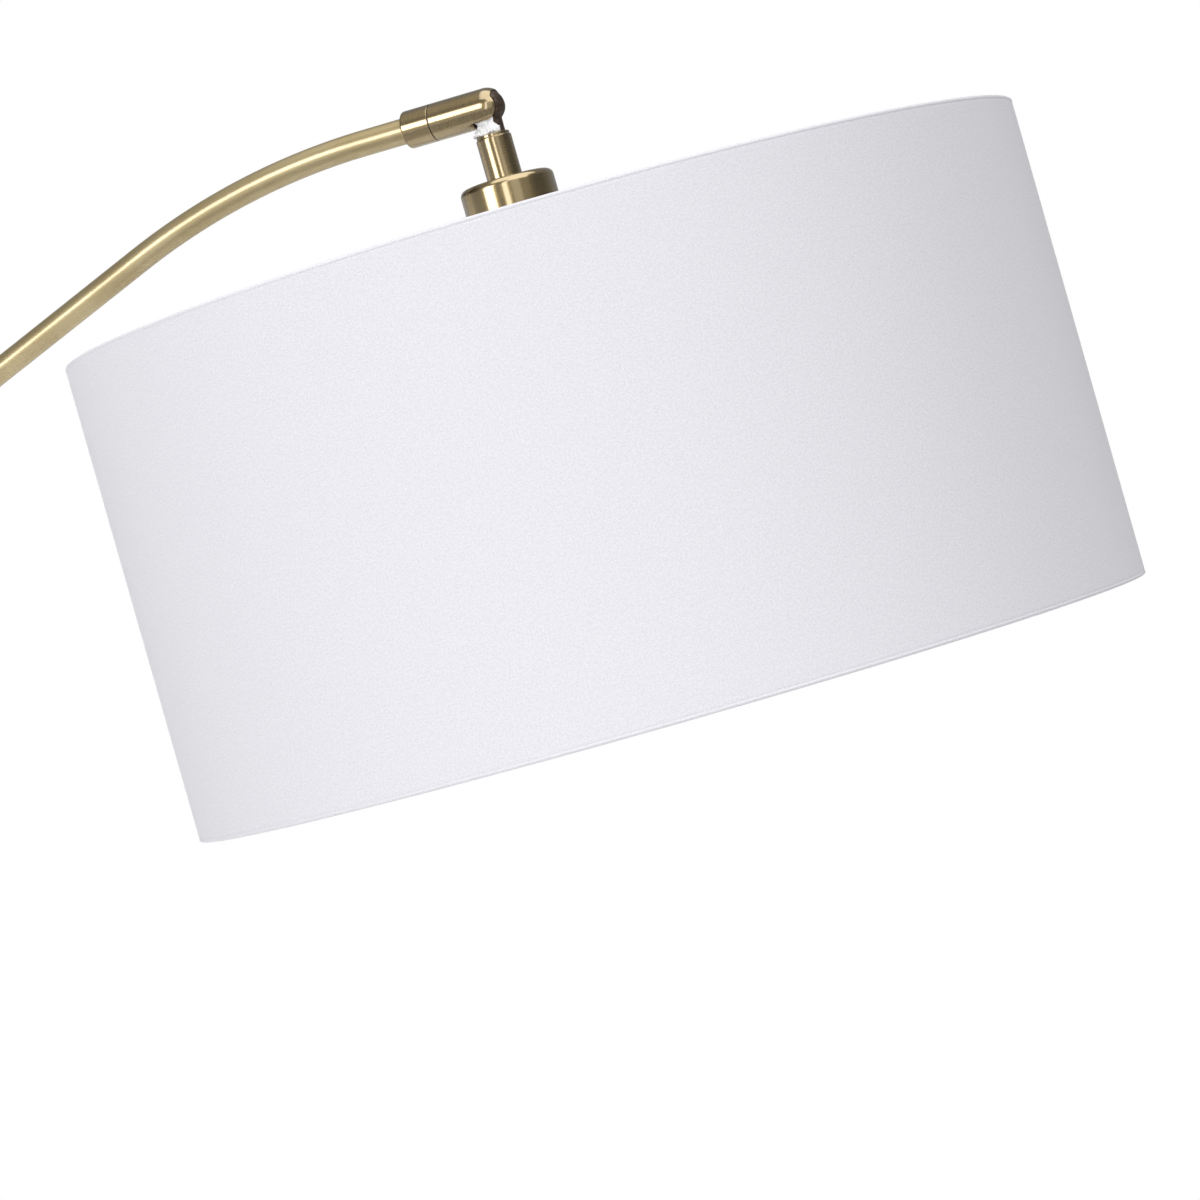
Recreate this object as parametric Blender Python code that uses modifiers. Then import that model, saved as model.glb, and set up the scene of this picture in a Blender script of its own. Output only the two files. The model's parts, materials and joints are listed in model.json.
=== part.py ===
"""Arc floor lamp: weighted round base, two-piece pole, bent arm, knuckle and a hanging drum shade.

Run it with blender --background --python part.py, or from Blender's text editor.
Metres, +Z up. The origin is on the floor, under the middle of the base. The arm lies in the XZ plane and
carries the head out along +X.

Three empties hold the moving groups: arm_end and swivel_axis have +Z along the end of the arm, tilt_axis has
+Z up the head's own axis, and all three sit on the knuckle's cross pin.
"""

import math

import bmesh
import bpy
from mathutils import Matrix, Vector

# ---------------------------------------------------------------- driving dimensions

GAP = 0.0003  # clearance between pieces that touch
FAR = 0.03  # reach of a cutter that has to clear a small piece
ROUND_STEPS = 24  # facets round a turned piece
HIDDEN_STEPS = 12  # and round the small hardware inside
WIDE_STEPS = 36
BASE_STEPS = 48
SHADE_STEPS = 56

# base
PAD_RADIUS = 0.134
PAD_HEIGHT = 0.002
WEIGHT_RADIUS = 0.136
WEIGHT_HEIGHT = 0.022
COVER_RADIUS = 0.140
COVER_CROWN = 0.0012  # rise of the cover's top from its rim to its middle
SHEET_WALL = 0.001
GLAND_HEIGHT = 0.007  # middle of the cord's way in

# pole
POLE_RADIUS = 0.011
POLE_WALL = 0.0012
LOWER_POLE_LENGTH = 0.442
UPPER_POLE_LENGTH = 0.428
STEM_RADIUS = 0.005  # M10 all-thread tube
STEM_BORE = 0.0035

# arm: up the pole's axis, over a wide bend, straight, over a shallow bend, straight to the knuckle
ARM_RADIUS = 0.0055
ARM_WALL = 0.001
ARM_BEND_HEIGHT = 0.960
ARM_BEND_RADIUS = 0.600
ARM_SLOPE = math.radians(35.6)
ARM_STRAIGHT = 0.250
TIP_BEND_RADIUS = 0.335
TIP_SLOPE = math.radians(15.3)
TIP_LENGTH = 0.0584  # shallow bend to the cross pin

# knuckle
KNUCKLE_RADIUS = 0.008
SEAM_FROM_PIN = 0.0247
COLLAR_LENGTH = 0.0129
PIN_RADIUS = 0.0020
TONGUE_RADIUS = 0.0074
POCKET_RADIUS = TONGUE_RADIUS + GAP
SLOT_HALF_WIDTH = 0.0055
SLOT_ROOF = 0.0045  # the housing's top reaches this far past the cross pin

# head, measured down from the cross pin
HEAD_TILT = math.radians(17.2)
NECK_OFF_CENTRE = -0.0012  # the neck's axis passes this far inward of the cross pin
NECK_RADIUS = 0.0075
NECK_BORE = 0.0065
NECK_TOP = -0.0115
CUP_TOP = -0.0310
CUP_RADIUS = 0.0200
CUP_HEIGHT = 0.022
SOCKET_TOP = -0.0425
SOCKET_FLOOR = -0.0607
SOCKET_FLANGE = -0.0672
FLANGE = 0.0020
SOCKET_BOTTOM = -0.0887
SKIRT_RADIUS = 0.0160
KNOB_AT = -0.0572

# shade: its middle stands a little outward, as its frame is welded up off centre
SHADE_OFF_CENTRE = 0.0072  # outward of the neck's axis
SHADE_TOP = -0.0582
SHADE_RADIUS = 0.203
SHADE_HEIGHT = 0.202
CLOTH = 0.0005
RING_WIRE = 0.0016
SPOKE_RADIUS = 0.0015
SPOKES = 3
PLATE = 0.0020
PLATE_TOP = SOCKET_FLANGE - FLANGE - GAP

LEAD_RADIUS = 0.0023
CORE_RADIUS = 0.0010

# ---------------------------------------------------------------- places worked out from them

WEIGHT_BOTTOM = PAD_HEIGHT + GAP
WEIGHT_TOP = WEIGHT_BOTTOM + WEIGHT_HEIGHT
COVER_TOP = WEIGHT_TOP + GAP + SHEET_WALL + COVER_CROWN
POLE_FOOT = COVER_TOP + 0.006
POLE_JOINT = POLE_FOOT + LOWER_POLE_LENGTH
JOINT_RING_HEIGHT = 0.0080
UPPER_POLE_FOOT = POLE_JOINT + JOINT_RING_HEIGHT + 2 * GAP
POLE_TOP = UPPER_POLE_FOOT + UPPER_POLE_LENGTH
POLE_BORE = POLE_RADIUS - POLE_WALL
REDUCER_TOP = POLE_TOP + 0.044
ARM_FOOT = POLE_TOP - 0.010


def bend(start, radius, from_angle, to_angle, steps):
    """Points along a bend in the XZ plane. Angles are the path's slope, and it falls towards +X."""
    x, z = start
    points = []
    for i in range(1, steps + 1):
        angle = from_angle + (to_angle - from_angle) * i / steps
        points.append(
            (
                x + radius * (math.sin(from_angle) - math.sin(angle)),
                z + radius * (math.cos(angle) - math.cos(from_angle)),
            )
        )
    return points


def arm_centreline():
    """(x, z) points from the top of the pole to the cross pin."""
    upright = math.pi / 2
    points = [(0.0, ARM_BEND_HEIGHT)]
    points += bend(points[-1], ARM_BEND_RADIUS, upright, ARM_SLOPE, 18)
    x, z = points[-1]
    points.append(
        (x + ARM_STRAIGHT * math.cos(ARM_SLOPE), z + ARM_STRAIGHT * math.sin(ARM_SLOPE))
    )
    points += bend(points[-1], TIP_BEND_RADIUS, ARM_SLOPE, TIP_SLOPE, 8)
    x, z = points[-1]
    points.append((x + TIP_LENGTH * math.cos(TIP_SLOPE), z + TIP_LENGTH * math.sin(TIP_SLOPE)))
    return points


CENTRELINE = arm_centreline()
PIN = Vector((CENTRELINE[-1][0], 0.0, CENTRELINE[-1][1]))


def short_of_pin(distance):
    """The centreline cut off this far before the cross pin, as points in space."""
    x = PIN.x - distance * math.cos(TIP_SLOPE)
    z = PIN.z - distance * math.sin(TIP_SLOPE)
    return [Vector((px, 0.0, pz)) for px, pz in CENTRELINE[:-1]] + [Vector((x, 0.0, z))]


# ---------------------------------------------------------------- scene and materials


def clear_scene():
    for obj in list(bpy.data.objects):
        bpy.data.objects.remove(obj)
    for collection in list(bpy.data.collections):
        bpy.data.collections.remove(collection)


def new_collection(name):
    collection = bpy.data.collections.new(name)
    bpy.context.scene.collection.children.link(collection)
    return collection


def new_material(name, color, roughness, metallic=0.0):
    material = bpy.data.materials.new(name)
    material.use_nodes = True
    shader = material.node_tree.nodes["Principled BSDF"]
    shader.inputs["Base Color"].default_value = (*color, 1.0)
    shader.inputs["Roughness"].default_value = roughness
    shader.inputs["Metallic"].default_value = metallic
    material.diffuse_color = (*color, 1.0)
    return material


clear_scene()
LAMP = new_collection("arc_floor_lamp")
CUTTERS = new_collection("cutters")
CUTTERS.hide_render = True

BRASS = new_material("antique_brass", (0.42, 0.34, 0.19), 0.32, 1.0)
DARK_CAST = new_material("dark_cast", (0.07, 0.05, 0.035), 0.7, 0.6)
CAST_IRON = new_material("cast_iron", (0.06, 0.06, 0.065), 0.75, 0.5)
STEEL = new_material("zinc_steel", (0.62, 0.63, 0.64), 0.35, 1.0)
BLACK = new_material("black_plastic", (0.02, 0.02, 0.02), 0.5)
WHITE_NYLON = new_material("white_nylon", (0.85, 0.85, 0.84), 0.45)
CORE_WHITE = new_material("core_insulation", (0.85, 0.85, 0.84), 0.4)
LEAD_JACKET = new_material("lead_jacket", (0.7, 0.7, 0.68), 0.5)
FELT = new_material("felt", (0.05, 0.05, 0.05), 0.95)
PHENOLIC = new_material("phenolic", (0.03, 0.03, 0.03), 0.3)
SHELL_METAL = new_material("socket_metal", (0.7, 0.58, 0.34), 0.3, 1.0)
CAP_METAL = new_material("cap_metal", (0.75, 0.75, 0.76), 0.3, 1.0)
OPAL_GLASS = new_material("opal_glass", (0.9, 0.9, 0.88), 0.25)
WHITE_WIRE = new_material("white_wire", (0.85, 0.85, 0.84), 0.4)
LINEN = new_material("shade_linen", (0.86, 0.86, 0.87), 0.9)
STYRENE = new_material("shade_styrene", (0.88, 0.88, 0.87), 0.35)


# ---------------------------------------------------------------- makers


def new_empty(name, location=(0, 0, 0), turn=0.0, parent=None):
    """An empty turned about Y."""
    empty = bpy.data.objects.new(name, None)
    empty.empty_display_size = 0.02
    empty.location = location
    empty.rotation_euler = (0.0, turn, 0.0)
    empty.parent = parent
    LAMP.objects.link(empty)
    return empty


def add(name, data, material=None, parent=None, collection=LAMP):
    obj = bpy.data.objects.new(name, data)
    obj.parent = parent
    collection.objects.link(obj)
    if material:
        data.materials.append(material)
    if collection is CUTTERS:
        obj.hide_render = True
        obj.display_type = "WIRE"
    return obj


def turned(name, profile, material=None, parent=None, steps=ROUND_STEPS, collection=LAMP):
    """A turned piece about local Z. The profile is (radius, height) points that run down the outside.

    A profile that starts and ends on the axis is left open there, and any other is a closed section.
    """
    count = len(profile)
    links = [(i, i + 1) for i in range(count - 1)]
    if profile[0][0] > 0.0:
        links.append((count - 1, 0))
    mesh = bpy.data.meshes.new(name)
    mesh.from_pydata([(r, 0.0, z) for r, z in profile], links, [])
    obj = add(name, mesh, material, parent, collection)
    screw = obj.modifiers.new("Turn", "SCREW")
    screw.steps = steps
    screw.render_steps = steps
    screw.use_merge_vertices = True
    screw.merge_threshold = 0.00001
    screw.use_smooth_shade = True
    return obj


def sleeve(outer, inner, top, bottom):
    """The section of a plain round sleeve."""
    return [(outer, top), (outer, bottom), (inner, bottom), (inner, top)]


def from_bmesh(name, form, material=None, parent=None, collection=LAMP):
    mesh = bpy.data.meshes.new(name)
    form.to_mesh(mesh)
    form.free()
    return add(name, mesh, material, parent, collection)


def block_cutter(name, low, high, parent=None):
    """A box cutter between two corners."""
    low, high = Vector(low), Vector(high)
    form = bmesh.new()
    size = high - low
    place = Matrix.Translation((low + high) / 2) @ Matrix.Diagonal((*size, 1.0))
    bmesh.ops.create_cube(form, size=1.0, matrix=place)
    return from_bmesh(name, form, None, parent, CUTTERS)


def prism(form, radius, low, high, sides, direction="Z"):
    """A closed prism or cylinder between two heights along X, Y or Z."""
    turns = {
        "X": Matrix.Rotation(math.pi / 2, 4, "Y"),
        "Y": Matrix.Rotation(-math.pi / 2, 4, "X"),
        "Z": Matrix.Identity(4),
    }
    middle = Matrix.Translation((0.0, 0.0, (low + high) / 2))
    bmesh.ops.create_cone(
        form,
        cap_ends=True,
        segments=sides,
        radius1=radius,
        radius2=radius,
        depth=high - low,
        matrix=turns[direction] @ middle,
    )


def rod_cutter(name, radius, low, high, parent=None, sides=24, direction="Z"):
    form = bmesh.new()
    prism(form, radius, low, high, sides, direction)
    return from_bmesh(name, form, None, parent, CUTTERS)


def boolean(obj, other, operation="DIFFERENCE"):
    modifier = obj.modifiers.new(other.name, "BOOLEAN")
    modifier.operation = operation
    modifier.solver = "EXACT"
    modifier.object = other
    return obj


def nut(name, flats, hole, top, bottom, material, parent=None):
    """A plain hexagon nut."""
    form = bmesh.new()
    prism(form, flats / math.sqrt(3), bottom, top, 6)
    obj = from_bmesh(name, form, material, parent)
    through = rod_cutter(name + "_hole", hole, bottom - 0.001, top + 0.001, parent)
    return boolean(obj, through)


def path_curve(name, points, radius, resolution, caps=True):
    """A round bar or, without caps, an open tube surface along a line of points."""
    curve = bpy.data.curves.new(name, "CURVE")
    curve.dimensions = "3D"
    curve.bevel_depth = radius
    curve.bevel_resolution = resolution
    curve.use_fill_caps = caps
    spline = curve.splines.new("POLY")
    spline.points.add(len(points) - 1)
    for target, point in zip(spline.points, points):
        target.co = (*point, 1.0)
    return curve


def as_mesh(obj, collection):
    """Replaces a curve object by a mesh object with its caps welded on."""
    bpy.context.view_layer.update()
    graph = bpy.context.evaluated_depsgraph_get()
    mesh = bpy.data.meshes.new_from_object(obj.evaluated_get(graph))
    form = bmesh.new()
    form.from_mesh(mesh)
    bmesh.ops.remove_doubles(form, verts=form.verts, dist=0.00001)
    form.to_mesh(mesh)
    form.free()
    name, parent, place = obj.name, obj.parent, obj.matrix_world.copy()
    bpy.data.objects.remove(obj)
    made = add(name, mesh, None, parent, collection)
    made.matrix_world = place
    return made


def ring(name, radius, wire, height, material, parent, collection=LAMP):
    """A wire hoop, as a round section turned about Z."""
    sides = 6
    section = []
    for i in range(sides):
        angle = math.pi / 2 - 2 * math.pi * (i + 0.5) / sides
        section.append((radius + wire * math.cos(angle), height + wire * math.sin(angle)))
    return turned(name, section, material, parent, SHADE_STEPS, collection)


# ---------------------------------------------------------------- base


def make_base():
    pad = [(0.0, PAD_HEIGHT), (PAD_RADIUS, PAD_HEIGHT), (PAD_RADIUS, 0.0), (0.0, 0.0)]
    turned("base_felt_pad", pad, FELT, steps=BASE_STEPS)

    recess_radius, recess_top = 0.017, WEIGHT_BOTTOM + 0.016
    shoulder = 0.007
    weight = turned(
        "base_weight",
        [
            (STEM_RADIUS + GAP, WEIGHT_TOP),
            (WEIGHT_RADIUS - shoulder, WEIGHT_TOP),
            (WEIGHT_RADIUS, WEIGHT_TOP - shoulder),
            (WEIGHT_RADIUS, WEIGHT_BOTTOM),
            (recess_radius, WEIGHT_BOTTOM),
            (recess_radius, recess_top),
            (STEM_RADIUS + GAP, recess_top),
        ],
        CAST_IRON,
        steps=BASE_STEPS,
    )
    channel_half, channel_top = 0.005, GLAND_HEIGHT + 0.005
    channel = block_cutter(
        "cord_channel",
        (-WEIGHT_RADIUS - 0.002, -channel_half, 0.0),
        (-recess_radius + 0.002, channel_half, channel_top),
    )
    boolean(weight, channel)
    make_cover()

    washer_top = recess_top - GAP
    nut_top = washer_top - 0.0012 - GAP
    nut_bottom = nut_top - 0.005
    turned(
        "stem_washer",
        sleeve(0.014, STEM_RADIUS + GAP, washer_top, washer_top - 0.0012),
        STEEL,
        steps=HIDDEN_STEPS,
    )
    nut("stem_nut", 0.017, STEM_RADIUS + GAP, nut_top, nut_bottom, STEEL)
    turned(
        "base_stem",
        sleeve(STEM_RADIUS, STEM_BORE, POLE_FOOT + 0.024, nut_bottom - 0.0005),
        STEEL,
        steps=HIDDEN_STEPS,
    )
    make_gland()


def make_cover():
    """The spun cover: an upright skirt, a round shoulder and a top that rises a little to the middle."""
    skirt_bottom, bend_radius, bend_steps = 0.0015, 0.009, 4
    edge_top = COVER_TOP - COVER_CROWN
    outer = [(STEM_RADIUS + GAP, COVER_TOP)]
    inner = [(STEM_RADIUS + GAP, COVER_TOP - SHEET_WALL)]
    centre = (COVER_RADIUS - bend_radius, edge_top - bend_radius)
    for i in range(bend_steps + 1):
        angle = math.pi / 2 * (1 - i / bend_steps)
        for side, radius in ((outer, bend_radius), (inner, bend_radius - SHEET_WALL)):
            side.append(
                (centre[0] + radius * math.cos(angle), centre[1] + radius * math.sin(angle))
            )
    outer.append((COVER_RADIUS, skirt_bottom))
    inner.append((COVER_RADIUS - SHEET_WALL, skirt_bottom))
    cover = turned("base_cover", outer + inner[::-1], BRASS, steps=BASE_STEPS)
    hole = rod_cutter(
        "gland_hole", 0.0043, -COVER_RADIUS - 0.005, -COVER_RADIUS + 0.008, direction="X"
    )
    hole.location.z = GLAND_HEIGHT
    boolean(cover, hole)


def make_gland():
    """The bush where the cord goes in, turned about X at the back of the skirt."""
    flange_top = 0.0018
    profile = [
        (LEAD_RADIUS + GAP, flange_top),
        (0.0046, flange_top),
        (0.0056, flange_top - 0.0008),
        (0.0056, 0.0),
        (0.0040, 0.0),
        (0.0040, -0.0068),
        (LEAD_RADIUS + GAP, -0.0068),
    ]
    gland = turned("cord_gland", profile, BLACK)
    gland.location = (-COVER_RADIUS - 0.0004, 0.0, GLAND_HEIGHT)
    gland.rotation_euler = (0.0, -math.pi / 2, 0.0)


# ---------------------------------------------------------------- pole


def pole_plug(name, top, bottom):
    """A threaded plug pressed into the end of a pole."""
    turned(name, sleeve(POLE_BORE - GAP, STEM_RADIUS + GAP, top, bottom), STEEL, steps=HIDDEN_STEPS)


def make_pole():
    foot_top = POLE_FOOT + 0.010
    turned(
        "foot_collar",
        [
            (POLE_RADIUS + GAP, foot_top),
            (0.0132, foot_top),
            (0.0138, foot_top - 0.001),
            (0.0144, foot_top - 0.005),
            (0.0170, foot_top - 0.009),
            (0.0215, foot_top - 0.0115),
            (0.0240, foot_top - 0.0125),
            (0.0250, foot_top - 0.0138),
            (0.0250, COVER_TOP + GAP),
            (STEM_RADIUS + GAP, COVER_TOP + GAP),
            (STEM_RADIUS + GAP, POLE_FOOT - GAP),
            (POLE_RADIUS + GAP, POLE_FOOT - GAP),
        ],
        BRASS,
    )
    turned("lower_pole", sleeve(POLE_RADIUS, POLE_BORE, POLE_JOINT, POLE_FOOT), BRASS)
    pole_plug("lower_pole_foot_plug", POLE_FOOT + 0.026, POLE_FOOT + 0.001)
    pole_plug("lower_pole_top_plug", POLE_JOINT - GAP, POLE_JOINT - 0.022)

    ring_low, ring_high = POLE_JOINT + GAP, POLE_JOINT + GAP + JOINT_RING_HEIGHT
    edge = 0.0008
    turned(
        "pole_joint_ring",
        [
            (STEM_RADIUS + GAP, ring_high),
            (POLE_RADIUS + 0.0004, ring_high),
            (POLE_RADIUS + 0.0004 + edge, ring_high - edge),
            (POLE_RADIUS + 0.0004 + edge, ring_low + edge),
            (POLE_RADIUS + 0.0004, ring_low),
            (STEM_RADIUS + GAP, ring_low),
        ],
        BRASS,
    )
    middle = (ring_low + ring_high) / 2
    nipple = sleeve(STEM_RADIUS, STEM_BORE, middle + 0.022, middle - 0.022)
    turned("pole_nipple", nipple, STEEL, steps=HIDDEN_STEPS)
    turned("upper_pole", sleeve(POLE_RADIUS, POLE_BORE, POLE_TOP, UPPER_POLE_FOOT), BRASS)
    pole_plug("upper_pole_foot_plug", UPPER_POLE_FOOT + 0.022, UPPER_POLE_FOOT + GAP)
    make_reducer()


def make_reducer():
    """The collar that steps the pole down to the arm: a spigot in the pole, a lip on it and a cone."""
    lip = POLE_TOP + GAP
    arm_bore = ARM_RADIUS + GAP
    seat = ARM_FOOT - GAP
    reducer = turned(
        "arm_reducer",
        [
            (arm_bore, REDUCER_TOP),
            (0.0070, REDUCER_TOP),
            (0.0076, REDUCER_TOP - 0.0008),
            (0.0080, REDUCER_TOP - 0.018),
            (0.0088, REDUCER_TOP - 0.026),
            (0.0106, REDUCER_TOP - 0.034),
            (0.0117, REDUCER_TOP - 0.0375),
            (0.0120, REDUCER_TOP - 0.0390),
            (0.0120, lip + 0.0006),
            (0.0114, lip),
            (POLE_BORE - GAP, lip),
            (POLE_BORE - GAP, lip - 0.022),
            (STEM_BORE, lip - 0.022),
            (STEM_BORE, seat),
            (arm_bore, seat),
        ],
        BRASS,
    )
    screw_height = REDUCER_TOP - 0.010
    hole = rod_cutter("set_screw_hole", 0.0023, 0.0052, 0.012, direction="Y")
    hole.location.z = screw_height
    boolean(reducer, hole)

    form = bmesh.new()
    prism(form, 0.0020, arm_bore, arm_bore + 0.0020, 16, "Y")
    screw = from_bmesh("arm_set_screw", form, STEEL)
    screw.location.z = screw_height
    key = rod_cutter("set_screw_key", 0.0010, 0.0068, 0.009, sides=6, direction="Y")
    key.location.z = screw_height
    boolean(screw, key)


# ---------------------------------------------------------------- arm and lead


def make_arm():
    foot = Vector((0.0, 0.0, ARM_FOOT))
    points = [foot] + short_of_pin(SEAM_FROM_PIN + 0.0055)
    surface = add("arm_tube", path_curve("arm_tube", points, ARM_RADIUS, 4, caps=False))
    tube = as_mesh(surface, LAMP)
    tube.data.materials.append(BRASS)
    wall = tube.modifiers.new("Wall", "SOLIDIFY")
    wall.thickness = ARM_WALL
    wall.offset = -1.0


def make_lead():
    """The lead inside the lamp: in through the gland, along the base's channel, up the pole and out the arm."""
    floor = 0.0053
    turn_radius, turn_steps = 0.009, 6
    points = [
        Vector((-COVER_RADIUS + 0.001, 0.0, GLAND_HEIGHT)),
        Vector((-COVER_RADIUS + 0.010, 0.0, GLAND_HEIGHT)),
        Vector((-COVER_RADIUS + 0.030, 0.0, floor)),
    ]
    for i in range(turn_steps + 1):
        angle = math.pi / 2 * i / turn_steps
        points.append(
            Vector(
                (
                    turn_radius * (math.sin(angle) - 1),
                    0.0,
                    floor + turn_radius * (1 - math.cos(angle)),
                )
            )
        )
    points += short_of_pin(SEAM_FROM_PIN - 0.007)
    add("lamp_lead", path_curve("lamp_lead", points, LEAD_RADIUS, 2), LEAD_JACKET)


# ---------------------------------------------------------------- knuckle, fixed side


def make_arm_end(arm_end):
    """The collar on the arm and the hollow stud that the housing turns on. Local Z runs out to the pin."""
    face = -SEAM_FROM_PIN - 0.00025
    back = -SEAM_FROM_PIN - COLLAR_LENGTH
    stud_radius, stud_bore, washer_radius, edge = 0.0035, 0.0027, 0.0070, 0.0005
    counterbore = 0.0006
    wall_back = -SEAM_FROM_PIN - 0.0048
    turned(
        "arm_collar",
        [
            (washer_radius + GAP, face),
            (KNUCKLE_RADIUS, face),
            (KNUCKLE_RADIUS, back + edge),
            (KNUCKLE_RADIUS - edge, back),
            (ARM_RADIUS + GAP, back),
            (ARM_RADIUS + GAP, wall_back),
            (stud_radius + GAP, wall_back),
            (stud_radius + GAP, face - counterbore),
            (washer_radius + GAP, face - counterbore),
        ],
        BRASS,
        arm_end,
    )
    washer_half = (counterbore + 0.00025) - GAP
    turned(
        "swivel_washer",
        sleeve(
            washer_radius,
            stud_radius + GAP,
            -SEAM_FROM_PIN + washer_half,
            -SEAM_FROM_PIN - washer_half,
        ),
        BLACK,
        arm_end,
    )
    turned(
        "swivel_stud",
        sleeve(stud_radius, stud_bore, -SEAM_FROM_PIN + 0.0090, wall_back + GAP),
        STEEL,
        arm_end,
        HIDDEN_STEPS,
    )
    housing_wall = -SEAM_FROM_PIN + 0.0035
    spring_top = housing_wall + GAP + 0.0004
    turned(
        "swivel_spring_washer",
        sleeve(0.0051, stud_radius + GAP, spring_top, housing_wall + GAP),
        STEEL,
        arm_end,
        HIDDEN_STEPS,
    )
    nut(
        "swivel_nut",
        0.0090,
        stud_radius + GAP,
        spring_top + GAP + 0.0028,
        spring_top + GAP,
        STEEL,
        arm_end,
    )


# ---------------------------------------------------------------- knuckle, turning side


def make_housing(swivel):
    """The round-ended housing: bored from the back, hollowed round the pin and slotted down and forward."""
    face = -SEAM_FROM_PIN + 0.00025
    washer_bore, stud_hole = 0.0073, 0.0038
    cavity, cavity_start, cavity_end = 0.0056, -SEAM_FROM_PIN + 0.0035, -0.003
    counterbore, dome_steps = 0.0006, 8
    dome = []
    for i in range(dome_steps + 1):
        angle = math.pi / 2 * (1 - i / dome_steps)
        dome.append((KNUCKLE_RADIUS * math.cos(angle), KNUCKLE_RADIUS * math.sin(angle)))
    dome[0] = (0.0, KNUCKLE_RADIUS)
    profile = dome + [
        (KNUCKLE_RADIUS, face),
        (washer_bore, face),
        (washer_bore, face + counterbore),
        (stud_hole, face + counterbore),
        (stud_hole, cavity_start),
        (cavity, cavity_start),
        (cavity, cavity_end),
        (0.0, cavity_end),
    ]
    housing = turned("knuckle_housing", profile, BRASS, swivel, steps=32)

    pocket = pocket_cutter(swivel)
    boolean(housing, pocket)
    reach, slot = 0.012, SLOT_HALF_WIDTH
    front = block_cutter("slot_front", (-reach, -slot, SLOT_ROOF), (reach, slot, reach), swivel)
    boolean(housing, front)
    below = block_cutter("slot_below", (-0.0005, -slot, -0.0065), (reach, slot, 0.009), swivel)
    boolean(housing, below)

    hole = rod_cutter(
        "pin_hole", PIN_RADIUS + GAP, -0.0071, KNUCKLE_RADIUS + 0.001, swivel, direction="Y"
    )
    boolean(housing, hole)
    recess = rod_cutter(
        "pin_recess", 0.0033, 0.0068, KNUCKLE_RADIUS + 0.001, swivel, direction="Y"
    )
    boolean(housing, recess)
    make_pin(swivel)


def pocket_cutter(swivel):
    """A ball cut flat on both sides, which the tongue turns in."""
    form = bmesh.new()
    bmesh.ops.create_uvsphere(form, u_segments=24, v_segments=16, radius=POCKET_RADIUS)
    ball = from_bmesh("tongue_pocket", form, None, swivel, CUTTERS)
    trim_sides(ball, SLOT_HALF_WIDTH, swivel)
    return ball


def trim_sides(obj, half_width, parent, bottom=-FAR):
    """Cuts an object flat on both sides of the plane of the arm, above a height."""
    for side, low, high in (("near", -FAR, -half_width), ("far", half_width, FAR)):
        cutter = block_cutter(f"{obj.name}_{side}_side", (-FAR, low, bottom), (FAR, high, FAR), parent)
        boolean(obj, cutter)


def make_pin(swivel):
    """A countersunk cross screw, put in from the back, and the friction washers beside the tongue."""
    profile = [
        (0.0, 0.0077),
        (0.0029, 0.0077),
        (0.0029, 0.0071),
        (PIN_RADIUS, 0.0071),
        (PIN_RADIUS, -0.0068),
        (0.0, -0.0068),
    ]
    pin = turned("knuckle_pin", profile, STEEL, swivel, steps=20)
    pin.rotation_euler = (-math.pi / 2, 0.0, 0.0)
    driver = block_cutter(
        "pin_driver_slot", (-0.0005, 0.0073, -0.004), (0.0005, 0.009, 0.004), swivel
    )
    boolean(pin, driver)
    inner, outer = 0.0047, 0.0052
    for name, low in (("friction_washer_near", -outer), ("friction_washer_far", inner)):
        washer = turned(
            name,
            sleeve(0.0046, PIN_RADIUS + GAP, low + outer - inner, low),
            WHITE_NYLON,
            swivel,
            steps=HIDDEN_STEPS,
        )
        washer.rotation_euler = (-math.pi / 2, 0.0, 0.0)


# ---------------------------------------------------------------- head


def make_tongue(tilt, neck):
    """The cast tongue: a ball-ended eye and a half-round stem that goes down the neck, with a wire way."""
    eye_half, stem_radius, foot_radius = 0.0044, 0.0045, NECK_BORE - 0.0008
    form = bmesh.new()
    bmesh.ops.create_uvsphere(form, u_segments=24, v_segments=16, radius=TONGUE_RADIUS)
    tongue = from_bmesh("knuckle_tongue", form, DARK_CAST, tilt)
    stem_top, foot_top, foot_bottom = -0.002, -0.0150, -0.0215
    stem = rod_cutter("tongue_stem", stem_radius, foot_top - 0.001, stem_top, tilt)
    foot = rod_cutter("tongue_foot", foot_radius, foot_bottom, foot_top, neck)
    boolean(stem, foot, "UNION")
    flat = block_cutter("stem_flat", (-FAR, -FAR, -FAR), (-0.0008, FAR, 0.0), tilt)
    boolean(stem, flat)
    boolean(tongue, stem, "UNION")
    trim_sides(tongue, eye_half, tilt, foot_top + 0.004)
    wire_way = block_cutter("wire_way", (-FAR, -0.0028, -FAR), (-0.0030, 0.0028, 0.0018), tilt)
    boolean(tongue, wire_way)
    hole = rod_cutter("eye_hole", PIN_RADIUS + GAP, -0.01, 0.01, tilt, direction="Y")
    boolean(tongue, hole)


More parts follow.
